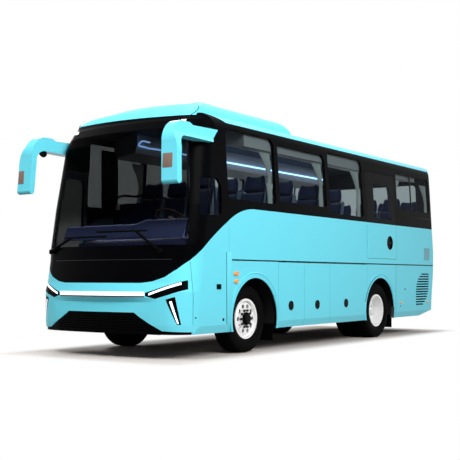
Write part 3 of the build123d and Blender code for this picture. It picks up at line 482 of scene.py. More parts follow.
def turned(radius, depth, steps=(), sides=40):
    """A round piece on the plane x = 0 that faces +X: each step insets its end and moves it along X."""
    begin()
    bpy.ops.mesh.primitive_cylinder_add(vertices=sides, radius=radius, depth=depth,
                                        location=(depth / 2, 0, 0), rotation=(0, math.pi / 2, 0))
    obj = bpy.context.object
    bpy.ops.object.transform_apply()
    edit(obj)
    for inset, rise in steps:
        pick(obj, lambda f: f.normal.x > 0.9 and len(f.verts) > 8)
        bpy.ops.mesh.inset(thickness=inset)
        if rise:
            bpy.ops.transform.translate(value=(rise, 0, 0))
    begin()
    return obj


def tube(points, radius):
    """A round bar through points, bent smoothly at each."""
    begin()
    bpy.ops.curve.primitive_bezier_curve_add()
    obj = bpy.context.object
    spline = obj.data.splines[0]
    spline.bezier_points.add(len(points) - 2)
    for point, place in zip(spline.bezier_points, points):
        point.co = place
        point.handle_left_type = point.handle_right_type = "AUTO"
    obj.data.bevel_depth = radius
    obj.data.use_fill_caps = True
    obj.data.resolution_u = 10
    alone(obj)
    bpy.ops.object.convert(target="MESH")
    return bpy.context.object


def half_width(z):
    """Half the body's width outside at a height."""
    return HALF if z <= WAIST_Z else HALF - (z - WAIST_Z) * (HALF - 1.175) / (SIDE_TOP_Z - WAIST_Z)


def on_side(obj, sign, y, z):
    """Puts a piece modelled on the plane x = 0 on a side wall below the waist."""
    place = Matrix.Translation((HALF, y, z))
    obj.data.transform(MIRROR @ place if sign < 0 else place)
    if sign < 0:
        outward(obj)
    return obj


def on_band(obj, sign):
    """Leans a piece modelled upright at the plane x = 0 onto the side above the waist."""
    for vert in obj.data.vertices:
        vert.co.x += half_width(vert.co.z)
    if sign < 0:
        obj.data.transform(MIRROR)
        outward(obj)
    return obj


def meets(node, start, way):
    """Where a ray first meets a solid, and the direction that its surface faces there."""
    _, place, normal, _ = nodes[node].ray_cast(Vector(start), Vector(way))
    return place, normal


RAY_START = 6


def from_ahead(node, x, z):
    """Where a solid is first met from ahead of the bus, and the direction it faces there."""
    return meets(node, (x, -RAY_START, z), (0, 1, 0))


def from_behind(node, x, z):
    """The same from behind the bus."""
    return meets(node, (x, RAY_START, z), (0, -1, 0))


def from_side(node, sign, y, z):
    """The same from one side."""
    return meets(node, (sign * RAY_START, y, z), (-sign, 0, 0))


def along(first, last, share):
    """A point on the way between two."""
    return [a + (b - a) * share for a, b in zip(first, last)]


def stood(obj, place, normal):
    """Stands a piece modelled on the plane x = 0 on a surface."""
    obj.data.transform(Matrix.Translation(place) @ normal.to_track_quat("X", "Z").to_matrix().to_4x4())
    return obj


# Tyres: a section with ribs and grooves, spun about the axle
TYRE_SECTION = [(-0.1047, 0.249), (-0.1047, 0.268), (-0.112, 0.274), (-0.1290, 0.300), (-0.1375, 0.330),
                (-0.1405, 0.352), (-0.1385, 0.378), (-0.1330, 0.402), (-0.1250, 0.424), (-0.1170, 0.4360),
                (-0.1040, 0.4430), (-0.070, 0.4462), (-0.068, 0.434), (-0.058, 0.434), (-0.056, 0.4466),
                (-0.018, 0.447), (-0.016, 0.434), (-0.006, 0.434), (-0.004, 0.447)]
TREAD_STEPS = 120
# Lugs: how far from the middle, how far from the axle, and degrees from one to the next and across one
LUG_IN, LUG_OUT, LUG_R, LUG_PITCH, LUG_TURN = 0.071, 0.104, 0.443, 12, 3


def tyre(x):
    """One tyre about its axle at the origin, its middle at x, with lugs cut in the shoulders."""
    section = TYRE_SECTION + [(-a, r) for a, r in reversed(TYRE_SECTION)]
    count = len(section)
    begin()
    mesh = bpy.data.meshes.new("tyre")
    mesh.from_pydata([(a + x, 0, r) for a, r in section], [(i, (i + 1) % count) for i in range(count)], [])
    obj = bpy.data.objects.new("tyre", mesh)
    bpy.context.scene.collection.objects.link(obj)
    edit(obj)
    bpy.ops.mesh.select_all(action="SELECT")
    bpy.ops.mesh.spin(steps=TREAD_STEPS, angle=math.tau, center=(0, 0, 0), axis=(1, 0, 0))
    outward(obj)

    def shoulder(face):
        """Whether a face is part of a lug's gap."""
        middle = face.calc_center_median()
        turn = math.degrees(math.atan2(middle.z, middle.y)) % LUG_PITCH
        high = math.hypot(middle.y, middle.z) > LUG_R
        return LUG_OUT > abs(middle.x - x) > LUG_IN and high and turn < LUG_TURN

    edit(obj)
    pick(obj, shoulder)
    bpy.ops.mesh.inset(thickness=0.003, use_individual=True)
    bpy.ops.mesh.extrude_region_shrink_fatten(TRANSFORM_OT_shrink_fatten={"value": -0.008})
    begin()
    return obj


def hung(obj, x_sign, axle_y):
    """Puts a piece modelled about the origin on an axle, on the left or the right."""
    move = Matrix.Translation((0, axle_y, TYRE_R))
    obj.data.transform(move @ MIRROR if x_sign < 0 else move)
    if x_sign < 0:
        outward(obj)
    return obj


for side, sign in SIDES:
    made = hung(tyre(FRONT_X), sign, FRONT_AXLE_Y)
    settle(made, "front_%s_tread" % side, TYRE, "front_%s_wheel" % side, 30)
    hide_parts("front_%s_tyre" % side)
    made = hung(joined([tyre(OUTER_X), tyre(INNER_X)]), sign, REAR_AXLE_Y)
    settle(made, "rear_%s_treads" % side, TYRE, "rear_%s_wheel" % side, 30)
    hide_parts("rear_%s_tyres" % side)


# Wheel nuts: hexagons with a chamfered crown and the end of the stud
NUTS = 10


def nut(x):
    """One nut that faces +X from x."""
    begin()
    bpy.ops.mesh.primitive_cylinder_add(vertices=6, radius=0.0165, depth=0.022, location=(x + 0.011, 0, 0),
                                        rotation=(0, math.pi / 2, 0))
    obj = bpy.context.object
    bpy.ops.object.transform_apply()
    edit(obj)
    pick(obj, lambda f: f.normal.x > 0.9)
    bpy.ops.mesh.inset(thickness=0.003)
    bpy.ops.transform.translate(value=(0.004, 0, 0))
    pick(obj, lambda f: f.normal.x > 0.9)
    bpy.ops.mesh.inset(thickness=0.003)
    bpy.ops.mesh.extrude_region_move(TRANSFORM_OT_translate={"value": (0.006, 0, 0)})
    begin()
    return obj


def nut_ring(x, radius):
    """Nuts on a circle about the axle."""
    outwards = Matrix.Translation((0, 0, radius))
    turns = [Matrix.Rotation(math.tau * (i + 0.5) / NUTS, 4, "X") @ outwards for i in range(NUTS)]
    return joined(copies(nut(x), turns))


def hub_cap(x, radius, depth):
    """Hub cover: a stepped, rounded disc."""
    steps = ((0.004, 0.006), (0.010, 0.0), (0.004, depth * 0.6), (0.012, depth * 0.4), (0.018, 0.002))
    obj = turned(radius, 0.01, steps, 48)
    obj.data.transform(Matrix.Translation((x - 0.005, 0, 0)))
    return obj


# Ends of the bus: x and radius of the nuts and their metal, then x, radius, depth and finish of the cap
HUBS = (("front", FRONT_AXLE_Y, (FRONT_X + 0.104, 0.1125), RAIL, (FRONT_X + 0.119, 0.088, 0.028), ABS),
        ("rear", REAR_AXLE_Y, (MOUNT_X + 0.016, 0.1400), STEEL, (MOUNT_X + 0.188, 0.090, 0.012), STEEL))
for side, sign in SIDES:
    for end, axle_y, ring, metal, cap, finish in HUBS:
        wheel = "%s_%s_wheel" % (end, side)
        settle(hung(nut_ring(*ring), sign, axle_y), "%s_%s_nuts" % (end, side), metal, wheel)
        settle(hung(hub_cap(*cap), sign, axle_y), "%s_%s_hub_cap" % (end, side), finish, wheel)


# Hatch locks: round black cups with a key bar
def lock(radius):
    """A flanged cup with a bar across it, on the plane x = 0."""
    cup = turned(radius, 0.006, ((radius * 0.10, 0.002), (radius * 0.12, 0.0), (radius * 0.06, -0.005)))
    return joined([cup, block((0.006, radius * 1.3, radius * 0.3), (0.005, 0, 0), 0.002)])


# Bay, place and height of each lock
LOCKS = [(1, front(0.917), 0.601), (2, front(1.668), 0.597), (3, front(2.577), 0.598)]
for bay, y, z in LOCKS:
    for side, sign in SIDES:
        made = on_side(lock(0.066), sign, y, z)
        settle(made, "%s_bay_%d_lock" % (side, bay), ABS, "%s_bay_%d" % (side, bay))

# Rubber seals behind the gaps between the hatches
HATCH_GAPS_Y = (-1.662, -0.952, -0.187, 1.082)
for side, sign in SIDES:
    made = [block((0.022, 0.036, 0.86), (-0.076, y, 0.765), 0.006) for y in HATCH_GAPS_Y]
    settle(on_side(joined(made), sign, 0, 0), "%s_hatch_seals" % side, RUBBER)

# Wheel arches: a pressed bead in the panel, concentric with the opening; first and last angle in degrees
BEADS = ((FRONT_AXLE_Y, 28, 150), (REAR_AXLE_Y, 30, 128))
BEAD_R, BEAD_STEPS = 0.605, 12
for side, sign in SIDES:
    made = []
    for axle_y, first, last in BEADS:
        line = []
        for step in range(BEAD_STEPS + 1):
            turn = math.radians(first + (last - first) * step / BEAD_STEPS)
            y, z = axle_y + BEAD_R * math.cos(turn), TYRE_R + BEAD_R * math.sin(turn)
            line.append(from_side("wheel_arch_panels", sign, y, z)[0])
        made.append(tube(line, 0.007))
    settle(joined(made), "%s_arch_beads" % side, SOLID_ENAMEL)

# Wheel houses: the inner wall of each, a pressed liner inboard of the tyre
for end, axle_y, x in (("front", FRONT_AXLE_Y, 0.52), ("rear", REAR_AXLE_Y, 0.55)):
    for side, sign in SIDES:
        liner = block((0.012, 1.10, 0.66), (sign * x, axle_y, 0.715), 0.004)
        edit(liner)
        pick(liner, lambda f: f.normal.x * sign > 0.99)
        bpy.ops.mesh.inset(thickness=0.05)
        bpy.ops.mesh.inset(thickness=0.02, depth=0.008)
        begin()
        settle(liner, "%s_%s_wheel_house" % (end, side), CHASSIS)

# Wipers: the sprung arm, the yoke over the blade and the pivot cap stand out from the flat arms.
# Pivot and end of each arm, then both ends of its yoke, as x and z
WIPERS = (((0.872, 1.310), (0.512, 1.560), (0.10, 1.560), (0.56, 1.560)),
          ((-1.000, 1.330), (-0.560, 1.500), (-0.60, 1.500), (-0.06, 1.500)))
SHARES = (0.02, 0.25, 0.5, 0.75, 0.98)
made = []
for pivot, end, yoke_start, yoke_end in WIPERS:
    for first, last, radius in ((pivot, end, 0.015), (yoke_start, yoke_end, 0.012)):
        line = [from_ahead("wipers", *along(first, last, share))[0] for share in SHARES]
        made.append(tube(line, radius))
    cap = turned(0.034, 0.012, ((0.006, 0.006), (0.014, 0.002)), 24)
    made.append(stood(cap, *from_ahead("wipers", *pivot)))
settle(joined(made), "wiper_yokes", RUBBER)

# Emergency door: a black pan lines the round recess, and a sleeve covers its bar
HANDLE_Y, HANDLE_Z = REAR_AXLE_Y + 0.386, 1.577
pan = turned(0.1165, 0.0262, ((0.0035, 0.0), (0.002, -0.022)), 48)
pan.data.transform(Matrix.Translation((-0.0255, 0, 0)))
sleeve = turned(0.0135, 0.220, ((0.003, 0.002),), 24)
sleeve.data.transform(Matrix.Translation((-0.012, -0.110, 0)) @ Matrix.Rotation(math.pi / 2, 4, "Z"))
pan = on_side(joined([pan, sleeve]), 1, HANDLE_Y, HANDLE_Z)
settle(pan, "exit_handle_pan", ABS, "exit_door")

# Side trim: cover strip at the front seam, louvred port, small locks, vent flap
STRIP_TALL, STRIP_Z = 0.905, 0.858
strip = on_side(block((0.006, 0.110, STRIP_TALL), (0.001, 0, 0), 0.0025), 1, front(-0.600), STRIP_Z)
settle(strip, "seam_cover_strip", SOLID_ENAMEL)
seal = on_side(block((0.007, 0.006, STRIP_TALL), (0.001, 0, 0), 0.0015), 1, front(-0.658), STRIP_Z)
settle(seal, "cover_strip_seal", RUBBER)


def port():
    """A square port with four sunk louvres."""
    obj = block((0.008, 0.094, 0.064), (0.003, 0, 0), 0.002)
    edit(obj)
    pick(obj, lambda f: f.normal.x > 0.99 and f.calc_area() > 0.002)
    bpy.ops.mesh.subdivide(number_cuts=1)
    pick(obj, lambda f: f.normal.x > 0.99 and f.calc_area() > 0.0008)
    bpy.ops.mesh.inset(thickness=0.005, use_individual=True)
    bpy.ops.transform.translate(value=(-0.005, 0, 0))
    begin()
    return obj


settle(on_side(port(), 1, front(-0.828), 0.878), "side_port", ABS)
# Place behind the front axle, height and radius of each small lock
KEY_LOCKS = [(-0.731, 0.466, 0.019), (-1.290, 0.508, 0.010), (4.806, 0.792, 0.014), (4.610, 0.500, 0.010)]
made = []
for y, z, radius in KEY_LOCKS:
    key = turned(radius, 0.004, ((radius * 0.2, 0.002), (radius * 0.3, -0.002)), 20)
    made.append(stood(key, *from_side("corner_panels", 1, front(y), z)))
settle(joined(made), "side_key_locks", ABS)


def vent_flap(wide, tall, slats):
    """A framed flap with slanting slats."""
    frame_piece = block((0.010, wide, tall), (0.001, 0, 0), 0.003)
    sunk(frame_piece, lambda f: f.normal.x > 0.99 and f.calc_area() > 0.01, (0.014, (-0.004, 0, 0)))
    slat = block((0.010, wide - 0.03, 0.004), (0, 0, 0), 0.001)
    slat.data.transform(Matrix.Rotation(math.radians(35), 4, "Y"))
    inside = tall - 0.03
    rows = [Matrix.Translation((0.002, 0, inside * ((i + 0.5) / slats - 0.5))) for i in range(slats)]
    return joined([frame_piece] + copies(slat, rows))


# flap and slats are a darker teal than the body: painted shade standing in for the louvres' shadows
flap = on_side(vent_flap(0.246, 0.222, 12), 1, front(5.777), 1.424)
settle(flap, "side_vent_flap", MESH)

# Dark screens behind the louvres of the tail
for side, sign in SIDES:
    made = on_side(vent_flap(0.62, 0.64, 10), sign, REAR_AXLE_Y + 1.78, 0.783)
    made.data.transform(Matrix.Translation((-sign * 0.052, 0, 0)))
    settle(made, "%s_vent_screen" % side, RUBBER)

# Bars on the side glass: post and sill strip of the rear pane, slider of the cab window
for side, sign in SIDES:
    post = block((0.012, 0.040, 0.615), (-0.004, front(5.13), 2.4925), 0.002)
    strip = block((0.012, 1.35, 0.012), (-0.004, front(5.355), 2.062), 0.002)
    made = joined([on_band(post, sign), on_band(strip, sign)])
    settle(made, "%s_rear_pane_bars" % side, ABS)
made = []
for y, wide in ((-1.014, 0.020), (-0.892, 0.030)):
    made.append(on_band(block((0.012, wide, 0.43), (-0.004, front(y), 1.985), 0.002), 1))
settle(joined(made), "cab_window_slider", ABS)

# Mirrors: silvered glass in the backs, plain covers in front, a round lens under the right arm
for side, sign in SIDES:
    glass = block((0.165, 0.004, 0.36), (0, 0, 0), 0.0015)
    sunk(glass, lambda f: f.normal.y > 0.99 and f.calc_area() > 0.01, (0.006, (0, -0.001, 0)))
    lean = Matrix.Rotation(math.radians(-3.6), 4, "X")
    glass.data.transform(Matrix.Translation((sign * 1.215, -3.9235, 2.335)) @ lean)
    settle(glass, "%s_mirror_glass" % side, SILVERING)
    x, z, wide = (1.178, 2.352, 0.145) if sign > 0 else (-1.262, 2.300, 0.100)
    cover = stood(block((0.006, wide, 0.170), (0, 0, 0), 0.002), *from_ahead("mirrors", x, z))
    settle(cover, "%s_mirror_cover" % side, PATCH)
place, _ = meets("mirrors", (-1.165, front(-1.46), 2.0), (0, 0, 1))
lens = turned(0.060, 0.026, ((0.008, 0.006), (0.006, 0.0), (0.004, -0.008), (0.018, 0.004)))
aim = Matrix.Rotation(math.radians(-90), 4, "Z") @ Matrix.Rotation(math.radians(35), 4, "Y")
lens.data.transform(Matrix.Translation(place + Vector((0, -0.012, -0.006))) @ aim)
settle(lens, "mirror_lens", ABS)

# Seams: pod to brow, across the mask, nose to side
SEAM_FOOT, SEAM_HEAD, SEAM_STEPS = (-1.015, 3.009), (-0.864, 3.143), 8
for side, sign in SIDES:
    line = []
    for step in range(SEAM_STEPS + 1):
        y, z = along(SEAM_FOOT, SEAM_HEAD, step / SEAM_STEPS)
        place, _ = from_side("roof_pod", sign, front(y), z)
        if place.length:
            line.append(place)
    settle(tube(line, 0.005), "%s_pod_seam" % side, RUBBER)
line = [from_ahead("front_mask", x, 1.21)[0] for x in (-0.9, -0.6, -0.3, 0, 0.3, 0.6, 0.9, 1.0)]
settle(tube(line, 0.003), "mask_seam", RAIL)
line = [from_side("corner_panels", 1, front(-1.327), z)[0] for z in (0.42, 0.60, 0.80, 1.00, 1.185)]
settle(tube(line, 0.002), "nose_seam", RUBBER)

# Curtains: gathered cloth swept back to the window posts; first and last y, and the edge that is tied
CURTAINS = [(0.415, 0.545, 1), (1.855, 1.985, 1), (3.085, 3.215, 1), (5.850, 5.980, 1), (4.530, 4.650, -1)]
CURTAIN_LOW, TIE_Z, CURTAIN_HIGH = 1.935, 2.34, 2.685
TIE_WIDE, RAIL_WIDE = 0.07, 0.28
PLEATS, PLEAT_STEPS, DROP_STEPS = 7, 84, 24


def curtain(y0, y1, tied, sign):
    """A pleated sheet from the rail to the sill: wide at the rail, drawn in at the tie, loose below it."""
    begin()
    bpy.ops.mesh.primitive_grid_add(x_subdivisions=PLEAT_STEPS, y_subdivisions=DROP_STEPS, size=1)
    obj = bpy.context.object
    for vert in obj.data.vertices:
        u, v = vert.co.x + 0.5, vert.co.y + 0.5
        z = CURTAIN_LOW + (CURTAIN_HIGH - CURTAIN_LOW) * v
        if z > TIE_Z:
            width = TIE_WIDE + (RAIL_WIDE - TIE_WIDE) * ((z - TIE_Z) / (CURTAIN_HIGH - TIE_Z)) ** 1.4
        else:
            width = TIE_WIDE + (y1 - y0 - 0.082) * (1 - math.exp(-(TIE_Z - z) / 0.15))
        y = y1 - 0.006 - (1 - u) * width if tied > 0 else y0 + 0.006 + u * width
        wave = math.sin(math.tau * PLEATS * u + 0.5 * math.sin(4 * v))
        x = half_width(z) - 0.0635 + 0.0135 * wave * (0.75 + 0.25 * v)
        vert.co = (sign * x, y, z)
    # the flat width is that of the top row, along its pleats
    top = [vert.co for vert in obj.data.vertices][DROP_STEPS * (PLEAT_STEPS + 1):]
    flat = sum((a - b).length for a, b in zip(top, top[1:]))
    return obj, flat, CURTAIN_HIGH - CURTAIN_LOW


for number, (a, b, tied) in enumerate(CURTAINS):
    for side, sign in SIDES:
        made, wide, tall = curtain(front(a), front(b), tied, sign)
        settle(made, "%s_curtain_%d" % (side, number + 1), CURTAIN_CLOTH, angle=60)
        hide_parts("curtains")


# Seats: stuffed cushion, back and headrest, modelled once and set out in rows
PAD_GRAIN = 0.022


def stuffed(size, centre, swell):
    """A pad: a rounded box in cloth, filled with air by simulation; no point moves further than `swell`."""
    slim = [edge - 1.4 * swell for edge in size]
    obj = block(slim, (0, 0, 0), min(slim) * 0.3, 3)
    grain = obj.modifiers.new("grain", "REMESH")
    grain.mode = "VOXEL"
    grain.voxel_size = PAD_GRAIN
    alone(obj)
    bpy.ops.object.modifier_apply(modifier="grain")
    start = [vert.co.copy() for vert in obj.data.vertices]
    cloth = obj.modifiers.new("cloth", "CLOTH")
    cloth.settings.quality = 4
    cloth.settings.use_pressure = True
    cloth.settings.uniform_pressure_force = 4.0
    cloth.settings.effector_weights.gravity = 0.0
    cloth.point_cache.frame_end = 20
    for step in range(1, 21):
        bpy.context.scene.frame_set(step)
    bpy.ops.object.modifier_apply(modifier="cloth")
    bpy.context.scene.frame_set(1)
    for vert, old in zip(obj.data.vertices, start):
        moved = vert.co - old
        if moved.length > swell:
            vert.co = old + moved * (swell / moved.length)
    obj.data.transform(Matrix.Translation(centre))
    return obj


RECLINE = Matrix.Translation((0, 0.155, 0.50)) @ Matrix.Rotation(math.radians(-13.5), 4, "X")


def seat_pads():
    """Cushion and reclined back, its edges turned forward at the top."""
    cushion = stuffed((0.41, 0.37, 0.15), (0, -0.065, 0.405), 0.012)
    back = stuffed((0.41, 0.115, 0.65), (0, 0.045, 0.33), 0.012)
    for vert in back.data.vertices:
        rise = max(0.0, vert.co.z - 0.30) / 0.35
        vert.co.y -= 0.035 * rise * (abs(vert.co.x) / 0.2) ** 3
        # two sewn channels run up the front of the back
        if vert.co.y < 0.03:
            vert.co.y += 0.008 * math.exp(-((abs(vert.co.x) - 0.115) / 0.02) ** 2)
    back.data.transform(RECLINE)
    return joined([cushion, back])


def headrest():
    """A winged pad over the back, its sides turned forward."""
    obj = stuffed((0.36, 0.10, 0.25), (0, 0.040, 0.755), 0.010)
    for vert in obj.data.vertices:
        vert.co.y -= 0.045 * (abs(vert.co.x) / 0.17) ** 3
        vert.co.x *= 1 - 0.22 * max(0.0, vert.co.z - 0.76) / 0.12
    obj.data.transform(RECLINE)
    return obj


def seat_shell():
    """Leg, pan and wing trims of a seat."""
    leg = block((0.34, 0.05, 0.31), (0, 0.0, 0.156), 0.008)
    pan = block((0.40, 0.32, 0.03), (0, -0.06, 0.325), 0.008)
    parts = [leg, pan]
    for sign in (-1, 1):
        wing = block((0.016, 0.085, 0.58), (sign * 0.207, 0.012, 0.36), 0.008, 3)
        wing.data.transform(RECLINE)
        parts.append(wing)
    return joined(parts)


SEAT_X = (-0.900, -0.450, 0.450, 0.900)
ROW_Y, ROW_PITCH, BENCH_Y = front(0.180), 0.746, REAR_AXLE_Y + 1.600
seat_places = []
for row in range(7):
    y = ROW_Y + row * ROW_PITCH
    clear = y + 0.430 < REAR_AXLE_Y - 0.473 or y - 0.225 > REAR_AXLE_Y + 0.629
    seat_places += [(x, y) for x in (SEAT_X if clear else SEAT_X[:2])]
seat_places += [(x, BENCH_Y) for x in SEAT_X + (0,)]
seat_places.append((0.620, front(-0.630)))
moves = [Matrix.Translation((x, y, DECK_Z)) for x, y in seat_places]
pads = settle(joined(copies(seat_pads(), moves)), "seat_pads", SEAT_CLOTH, angle=60)
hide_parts("seats")
heads = settle(joined(copies(headrest(), moves)), "seat_headrests", SEAT_CLOTH, angle=60)
settle(joined(copies(seat_shell(), moves)), "seat_shells", SEAT_TRIM)

# Reading-light strips along the luggage racks, hooked inwards at the front
STRIP_ROUTE = [(0.60, 0.06, 2.93), (0.625, -0.13, 2.90), (0.676, 0.06, 2.862), (0.676, 0.30, 2.862),
               (0.676, 5.40, 2.862)]
for side, sign in SIDES:
    strip = tube([(sign * x, front(y), z) for x, y, z in STRIP_ROUTE], 0.012)
    settle(strip, "%s_light_strip" % side, STRIP_LED)

# Entrance screen: a trimmed board under a bent rail, with a white grip
SCREEN_Y = front(-0.25)
board = block((0.70, 0.028, 0.98), (-0.615, SCREEN_Y, 1.545), 0.006)
settle(board, "entrance_screen", TRIM_PANEL)
rail = [(-0.985, 1.052), (-0.985, 1.60), (-0.985, 2.06), (-0.94, 2.125), (-0.60, 2.13), (-0.30, 2.125),
        (-0.25, 2.06), (-0.25, 1.60), (-0.25, 1.052)]
settle(tube([(x, SCREEN_Y, z) for x, z in rail], 0.017), "entrance_rail", ABS)
grip = block((0.045, 0.05, 0.075), (-0.90, front(-0.29), 1.985), 0.010, 3)
settle(grip, "entrance_grip", WHITE_ABS)

# Entrance: the lined post between the door and the first seats
lining = block((0.030, 0.34, 0.93), (-1.120, -2.460, 2.345), 0.012, 3)
settle(lining, "entrance_post_lining", ABS)

# Dash hood: a blue skin over the dash along the foot of the screen, higher before the driver
HOOD_WIDE, HOOD_MIDDLE_X, HOOD_FOOT_Z, HOOD_BEND = 1.95, 0.135, 1.47, 0.6
begin()
bpy.ops.mesh.primitive_grid_add(x_subdivisions=40, y_subdivisions=10, size=1)
hood = bpy.context.object
for vert in hood.data.vertices:
    x, v = HOOD_MIDDLE_X + vert.co.x * HOOD_WIDE, vert.co.y + 0.5
    crest = 1.655 + 0.05 / (1 + math.exp(-(x - 0.44) / 0.03))
    foot = front(-1.50 + 0.105 * x * x)
    if v < HOOD_BEND:
        up = v / HOOD_BEND
        vert.co = (x, foot + 0.10 * up, HOOD_FOOT_Z + (crest - HOOD_FOOT_Z) * math.sin(up * math.pi / 2))
    else:
        back = (v - HOOD_BEND) / (1 - HOOD_BEND)
        vert.co = (x, foot + 0.10 + 0.16 * back, crest - 0.03 * back ** 2)
hood.modifiers.new("wall", "SOLIDIFY").thickness = 0.010
settle(hood, "dash_hood", HOOD, angle=60)

# Tail: lamp units and their frames, reflectors, vents and lock of the motor lid
LAMP_UNITS = (("stop", RUBY, 1.40), ("turn", AMBER, 1.22), ("back", WHITE_ABS, 1.06))
LAMP_CORNERS = [(1.004, 0.894), (1.004, 1.506), (1.164, 1.506), (1.164, 0.894), (1.004, 0.894)]
for side, sign in SIDES:
    for colour, material, z in LAMP_UNITS:
        lens = turned(0.058, 0.008, ((0.006, 0.004), (0.004, -0.003), (0.022, 0.004), (0.020, 0.002)), 32)
        stood(lens, *from_behind("tail_lamps", sign * 1.085, z))
        settle(lens, "%s_%s_lens" % (side, colour), material)
    line = []
    for first, last in zip(LAMP_CORNERS, LAMP_CORNERS[1:]):
        for share in (0.04, 0.5, 0.96):
            x, z = along(first, last, share)
            line.append(from_behind("rear_panel", sign * x, z)[0])
    settle(tube(line + line[:1], 0.006), "%s_lamp_frame" % side, ABS)
    # the reflectors take the ruby lens material with its faint glow: painted light, as no lamp is behind them
    plate = block((0.010, 0.180, 0.045), (0.002, 0, 0), 0.003)
    stood(plate, *from_behind("rear_bumper", sign * 0.95, 0.50))
    settle(plate, "%s_reflector" % side, RUBY)
slats = []
for side, x in (("right", -0.46), ("left", 0.46)):
    screen = stood(block((0.008, 0.55, 0.44), (-0.002, 0, 0), 0.003), *from_behind("motor_lid", x, 1.24))
    settle(screen, "lid_vent_%s" % side, RUBBER, "rear_lid")
    for row in range(9):
        slat = block((0.016, 0.52, 0.010), (-0.003, 0, 0), 0.003)
        slat.data.transform(Matrix.Rotation(math.radians(25), 4, "Y"))
        slats.append(stood(slat, *from_behind("motor_lid", x, 1.06 + row * 0.045)))
settle(joined(slats), "lid_slats", SOLID_ENAMEL, "rear_lid")
settle(stood(lock(0.055), *from_behind("motor_lid", 0, 0.735)), "lid_lock", ABS, "rear_lid")

# Roof: two escape hatches with a raised, ribbed lid
for number, y in enumerate((0.55, 2.60)):
    lid = block((0.74, 0.66, 0.075), (0, y, 3.112), 0.022, 4)
    sunk(lid, lambda f: f.normal.z > 0.99 and f.calc_area() > 0.1,
         (0.06, (0, 0, -0.012)), (0.05, (0, 0, 0.016)))
    settle(lid, "roof_hatch_%d" % (number + 1), SOLID_ENAMEL)

# Pod: a crowned fairing over its front, fuller than the panel under it; way behind the front edge, and height
CROWN = [(0.0, 3.000), (0.035, 3.060), (0.085, 3.116), (0.145, 3.164), (0.215, 3.206), (0.290, 3.238),
         (0.360, 3.255), (0.430, 3.2615), (1.0, 3.2615)]
CROWN_HALF, CROWN_EDGE, CROWN_FOOT_Z, CROWN_RISE = 0.93, 0.84, 3.0, 0.262
begin()
bpy.ops.mesh.primitive_grid_add(x_subdivisions=48, y_subdivisions=28, size=1)
fairing = bpy.context.object
for vert in fairing.data.vertices:
    x, back = vert.co.x * 2 * CROWN_HALF, (vert.co.y + 0.5) ** 1.6
    for (s0, z0), (s1, z1) in zip(CROWN, CROWN[1:]):
        if s0 <= back <= s1:
            z = z0 + (z1 - z0) * (back - s0) / (s1 - s0)
    # the sides fall away, more so behind, and dive into the pod at the edges
    drop = 0.055 * x * x * (0.45 + 0.55 * back) + 6.9 * max(0.0, abs(x) - CROWN_EDGE) ** 2
    vert.co = (x, front(-1.158) + 0.15 * x * x + back, z - drop * (z - CROWN_FOOT_Z) / CROWN_RISE)
fairing.modifiers.new("wall", "SOLIDIFY").thickness = 0.004
settle(fairing, "pod_fairing", POD_ENAMEL, angle=60)

# Passenger door: a lock cup
settle(on_side(lock(0.055), -1, front(-0.72), 1.02), "entry_door_lock", ABS, "entry_door")

# Markers on the sides: domed amber lenses
for side, sign in SIDES:
    made = []
    for z, long in ((1.043, 0.054), (0.944, 0.046)):
        dome = turned(0.050, 0.004, ((0.005, 0.005), (0.010, 0.003), (0.012, 0.001)), 28)
        oval = Matrix.Diagonal((1, long / 0.050, 0.54, 1))
        dome.data.transform(Matrix.Translation((0.010, front(-0.449), z)) @ oval)
        made.append(dome)
    settle(on_side(joined(made), sign, 0, 0), "%s_marker_lenses" % side, AMBER)

# Camera, lights and floor
camera = bpy.data.objects.new("camera", bpy.data.cameras.new("camera"))
camera.location = (7.7467, -12.2622, 0.99)
camera.rotation_euler = (math.radians(90), 0, math.radians(34.596))
camera.data.lens = 71.14
camera.data.sensor_width = 36
camera.data.shift_y = 0.1036
bpy.context.scene.collection.objects.link(camera)
bpy.context.scene.camera = camera


def soft_light(name, place, target, size, power):
    """A large area lamp that points at a target."""
    lamp = bpy.data.lights.new(name, "AREA")
    lamp.shape = "RECTANGLE"
    lamp.size, lamp.size_y = size
    lamp.energy = power
    obj = bpy.data.objects.new(name, lamp)
    obj.location = place
    obj.rotation_euler = (Vector(target) - Vector(place)).to_track_quat("-Z", "Y").to_euler()
    bpy.context.scene.collection.objects.link(obj)


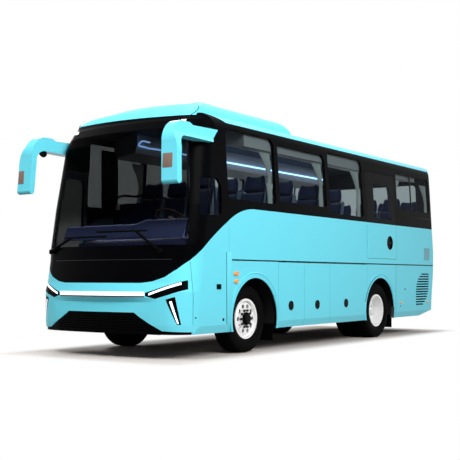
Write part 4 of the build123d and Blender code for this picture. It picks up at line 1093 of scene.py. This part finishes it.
soft_light("key_softbox", (11, -5, 8), (0, 0, 1.2), (6, 6), 1340)
soft_light("top_softbox", (0, 0, 11), (0, 0, 0), (6, 11), 260)
soft_light("front_softbox", (1, -11, 10), (0, -3, 1.2), (6, 4), 860)
soft_light("far_softbox", (-11, 7, 9), (0, 0, 1.2), (6, 6), 1400)
for y in (-2.0, 0.2, 2.4):
    soft_light("saloon_lamp", (0, y, 3.02), (0, y, 0), (0.5, 1.6), 9)
soft_light("cab_lamp", (0.1, front(-0.95), 2.25), (0.1, front(-1.42), 1.58), (1.7, 0.2), 16)
for y in (-1.4, 0.4, 2.2):
    soft_light("rack_uplight", (0, y, 1.25), (0, y, 3), (0.4, 1.5), 8)

begin()
bpy.ops.mesh.primitive_plane_add(size=120, location=(0, 0, 0))
ground = bpy.context.object
ground.name = "studio_floor"
pale = bpy.data.materials.new("pale_floor")
tree = bare_tree(pale)
seen = seen_plainly(tree)
# the floor fades to plain white within 0.45 m outside the bus's outline
out = add(tree, "VectorMath", {0: add(tree, "TexCoord").outputs["Object"]}, operation="ABSOLUTE")
out = add(tree, "VectorMath", {0: out, 1: (1.24, 4.0, 0)}, operation="SUBTRACT")
out = add(tree, "VectorMath", {0: out, 1: (0, 0, 0)}, operation="MAXIMUM")
far = add(tree, "VectorMath", {0: out}, operation="LENGTH").outputs["Value"]
fade = add(tree, "MapRange", {"Value": far, "From Max": 0.45}, interpolation_type="SMOOTHSTEP")
share = add(tree, "Math", {0: seen, 1: fade}, operation="MULTIPLY")
# light that bounces off the floor is held back, so that the underside stays in shade
bounce = add(tree, "Math", {0: 1.0, 1: seen}, operation="SUBTRACT")
shade = add(tree, "Mix", {"Factor": bounce, 6: linear("D6D0CC"), 7: linear("807C78")}, data_type="RGBA")
matt = add(tree, "BsdfDiffuse", {"Color": shade.outputs[2]})
white = add(tree, "Emission", {"Color": (1, 1, 1, 1), "Strength": 1.0})
both = add(tree, "MixShader", {0: share, 1: matt, 2: white})
add(tree, "OutputMaterial", {"Surface": both})
ground.data.materials.append(pale)

world = bpy.data.worlds.new("studio")
tree = bare_tree(world)
bpy.context.scene.world = world
level = add(tree, "MapRange", {"Value": seen_plainly(tree), "To Min": 0.25, "To Max": 1.0})
sky = add(tree, "Background", {"Color": (1, 1, 1, 1), "Strength": level})
add(tree, "OutputWorld", {"Surface": sky})
bpy.context.scene.view_settings.view_transform = "Standard"
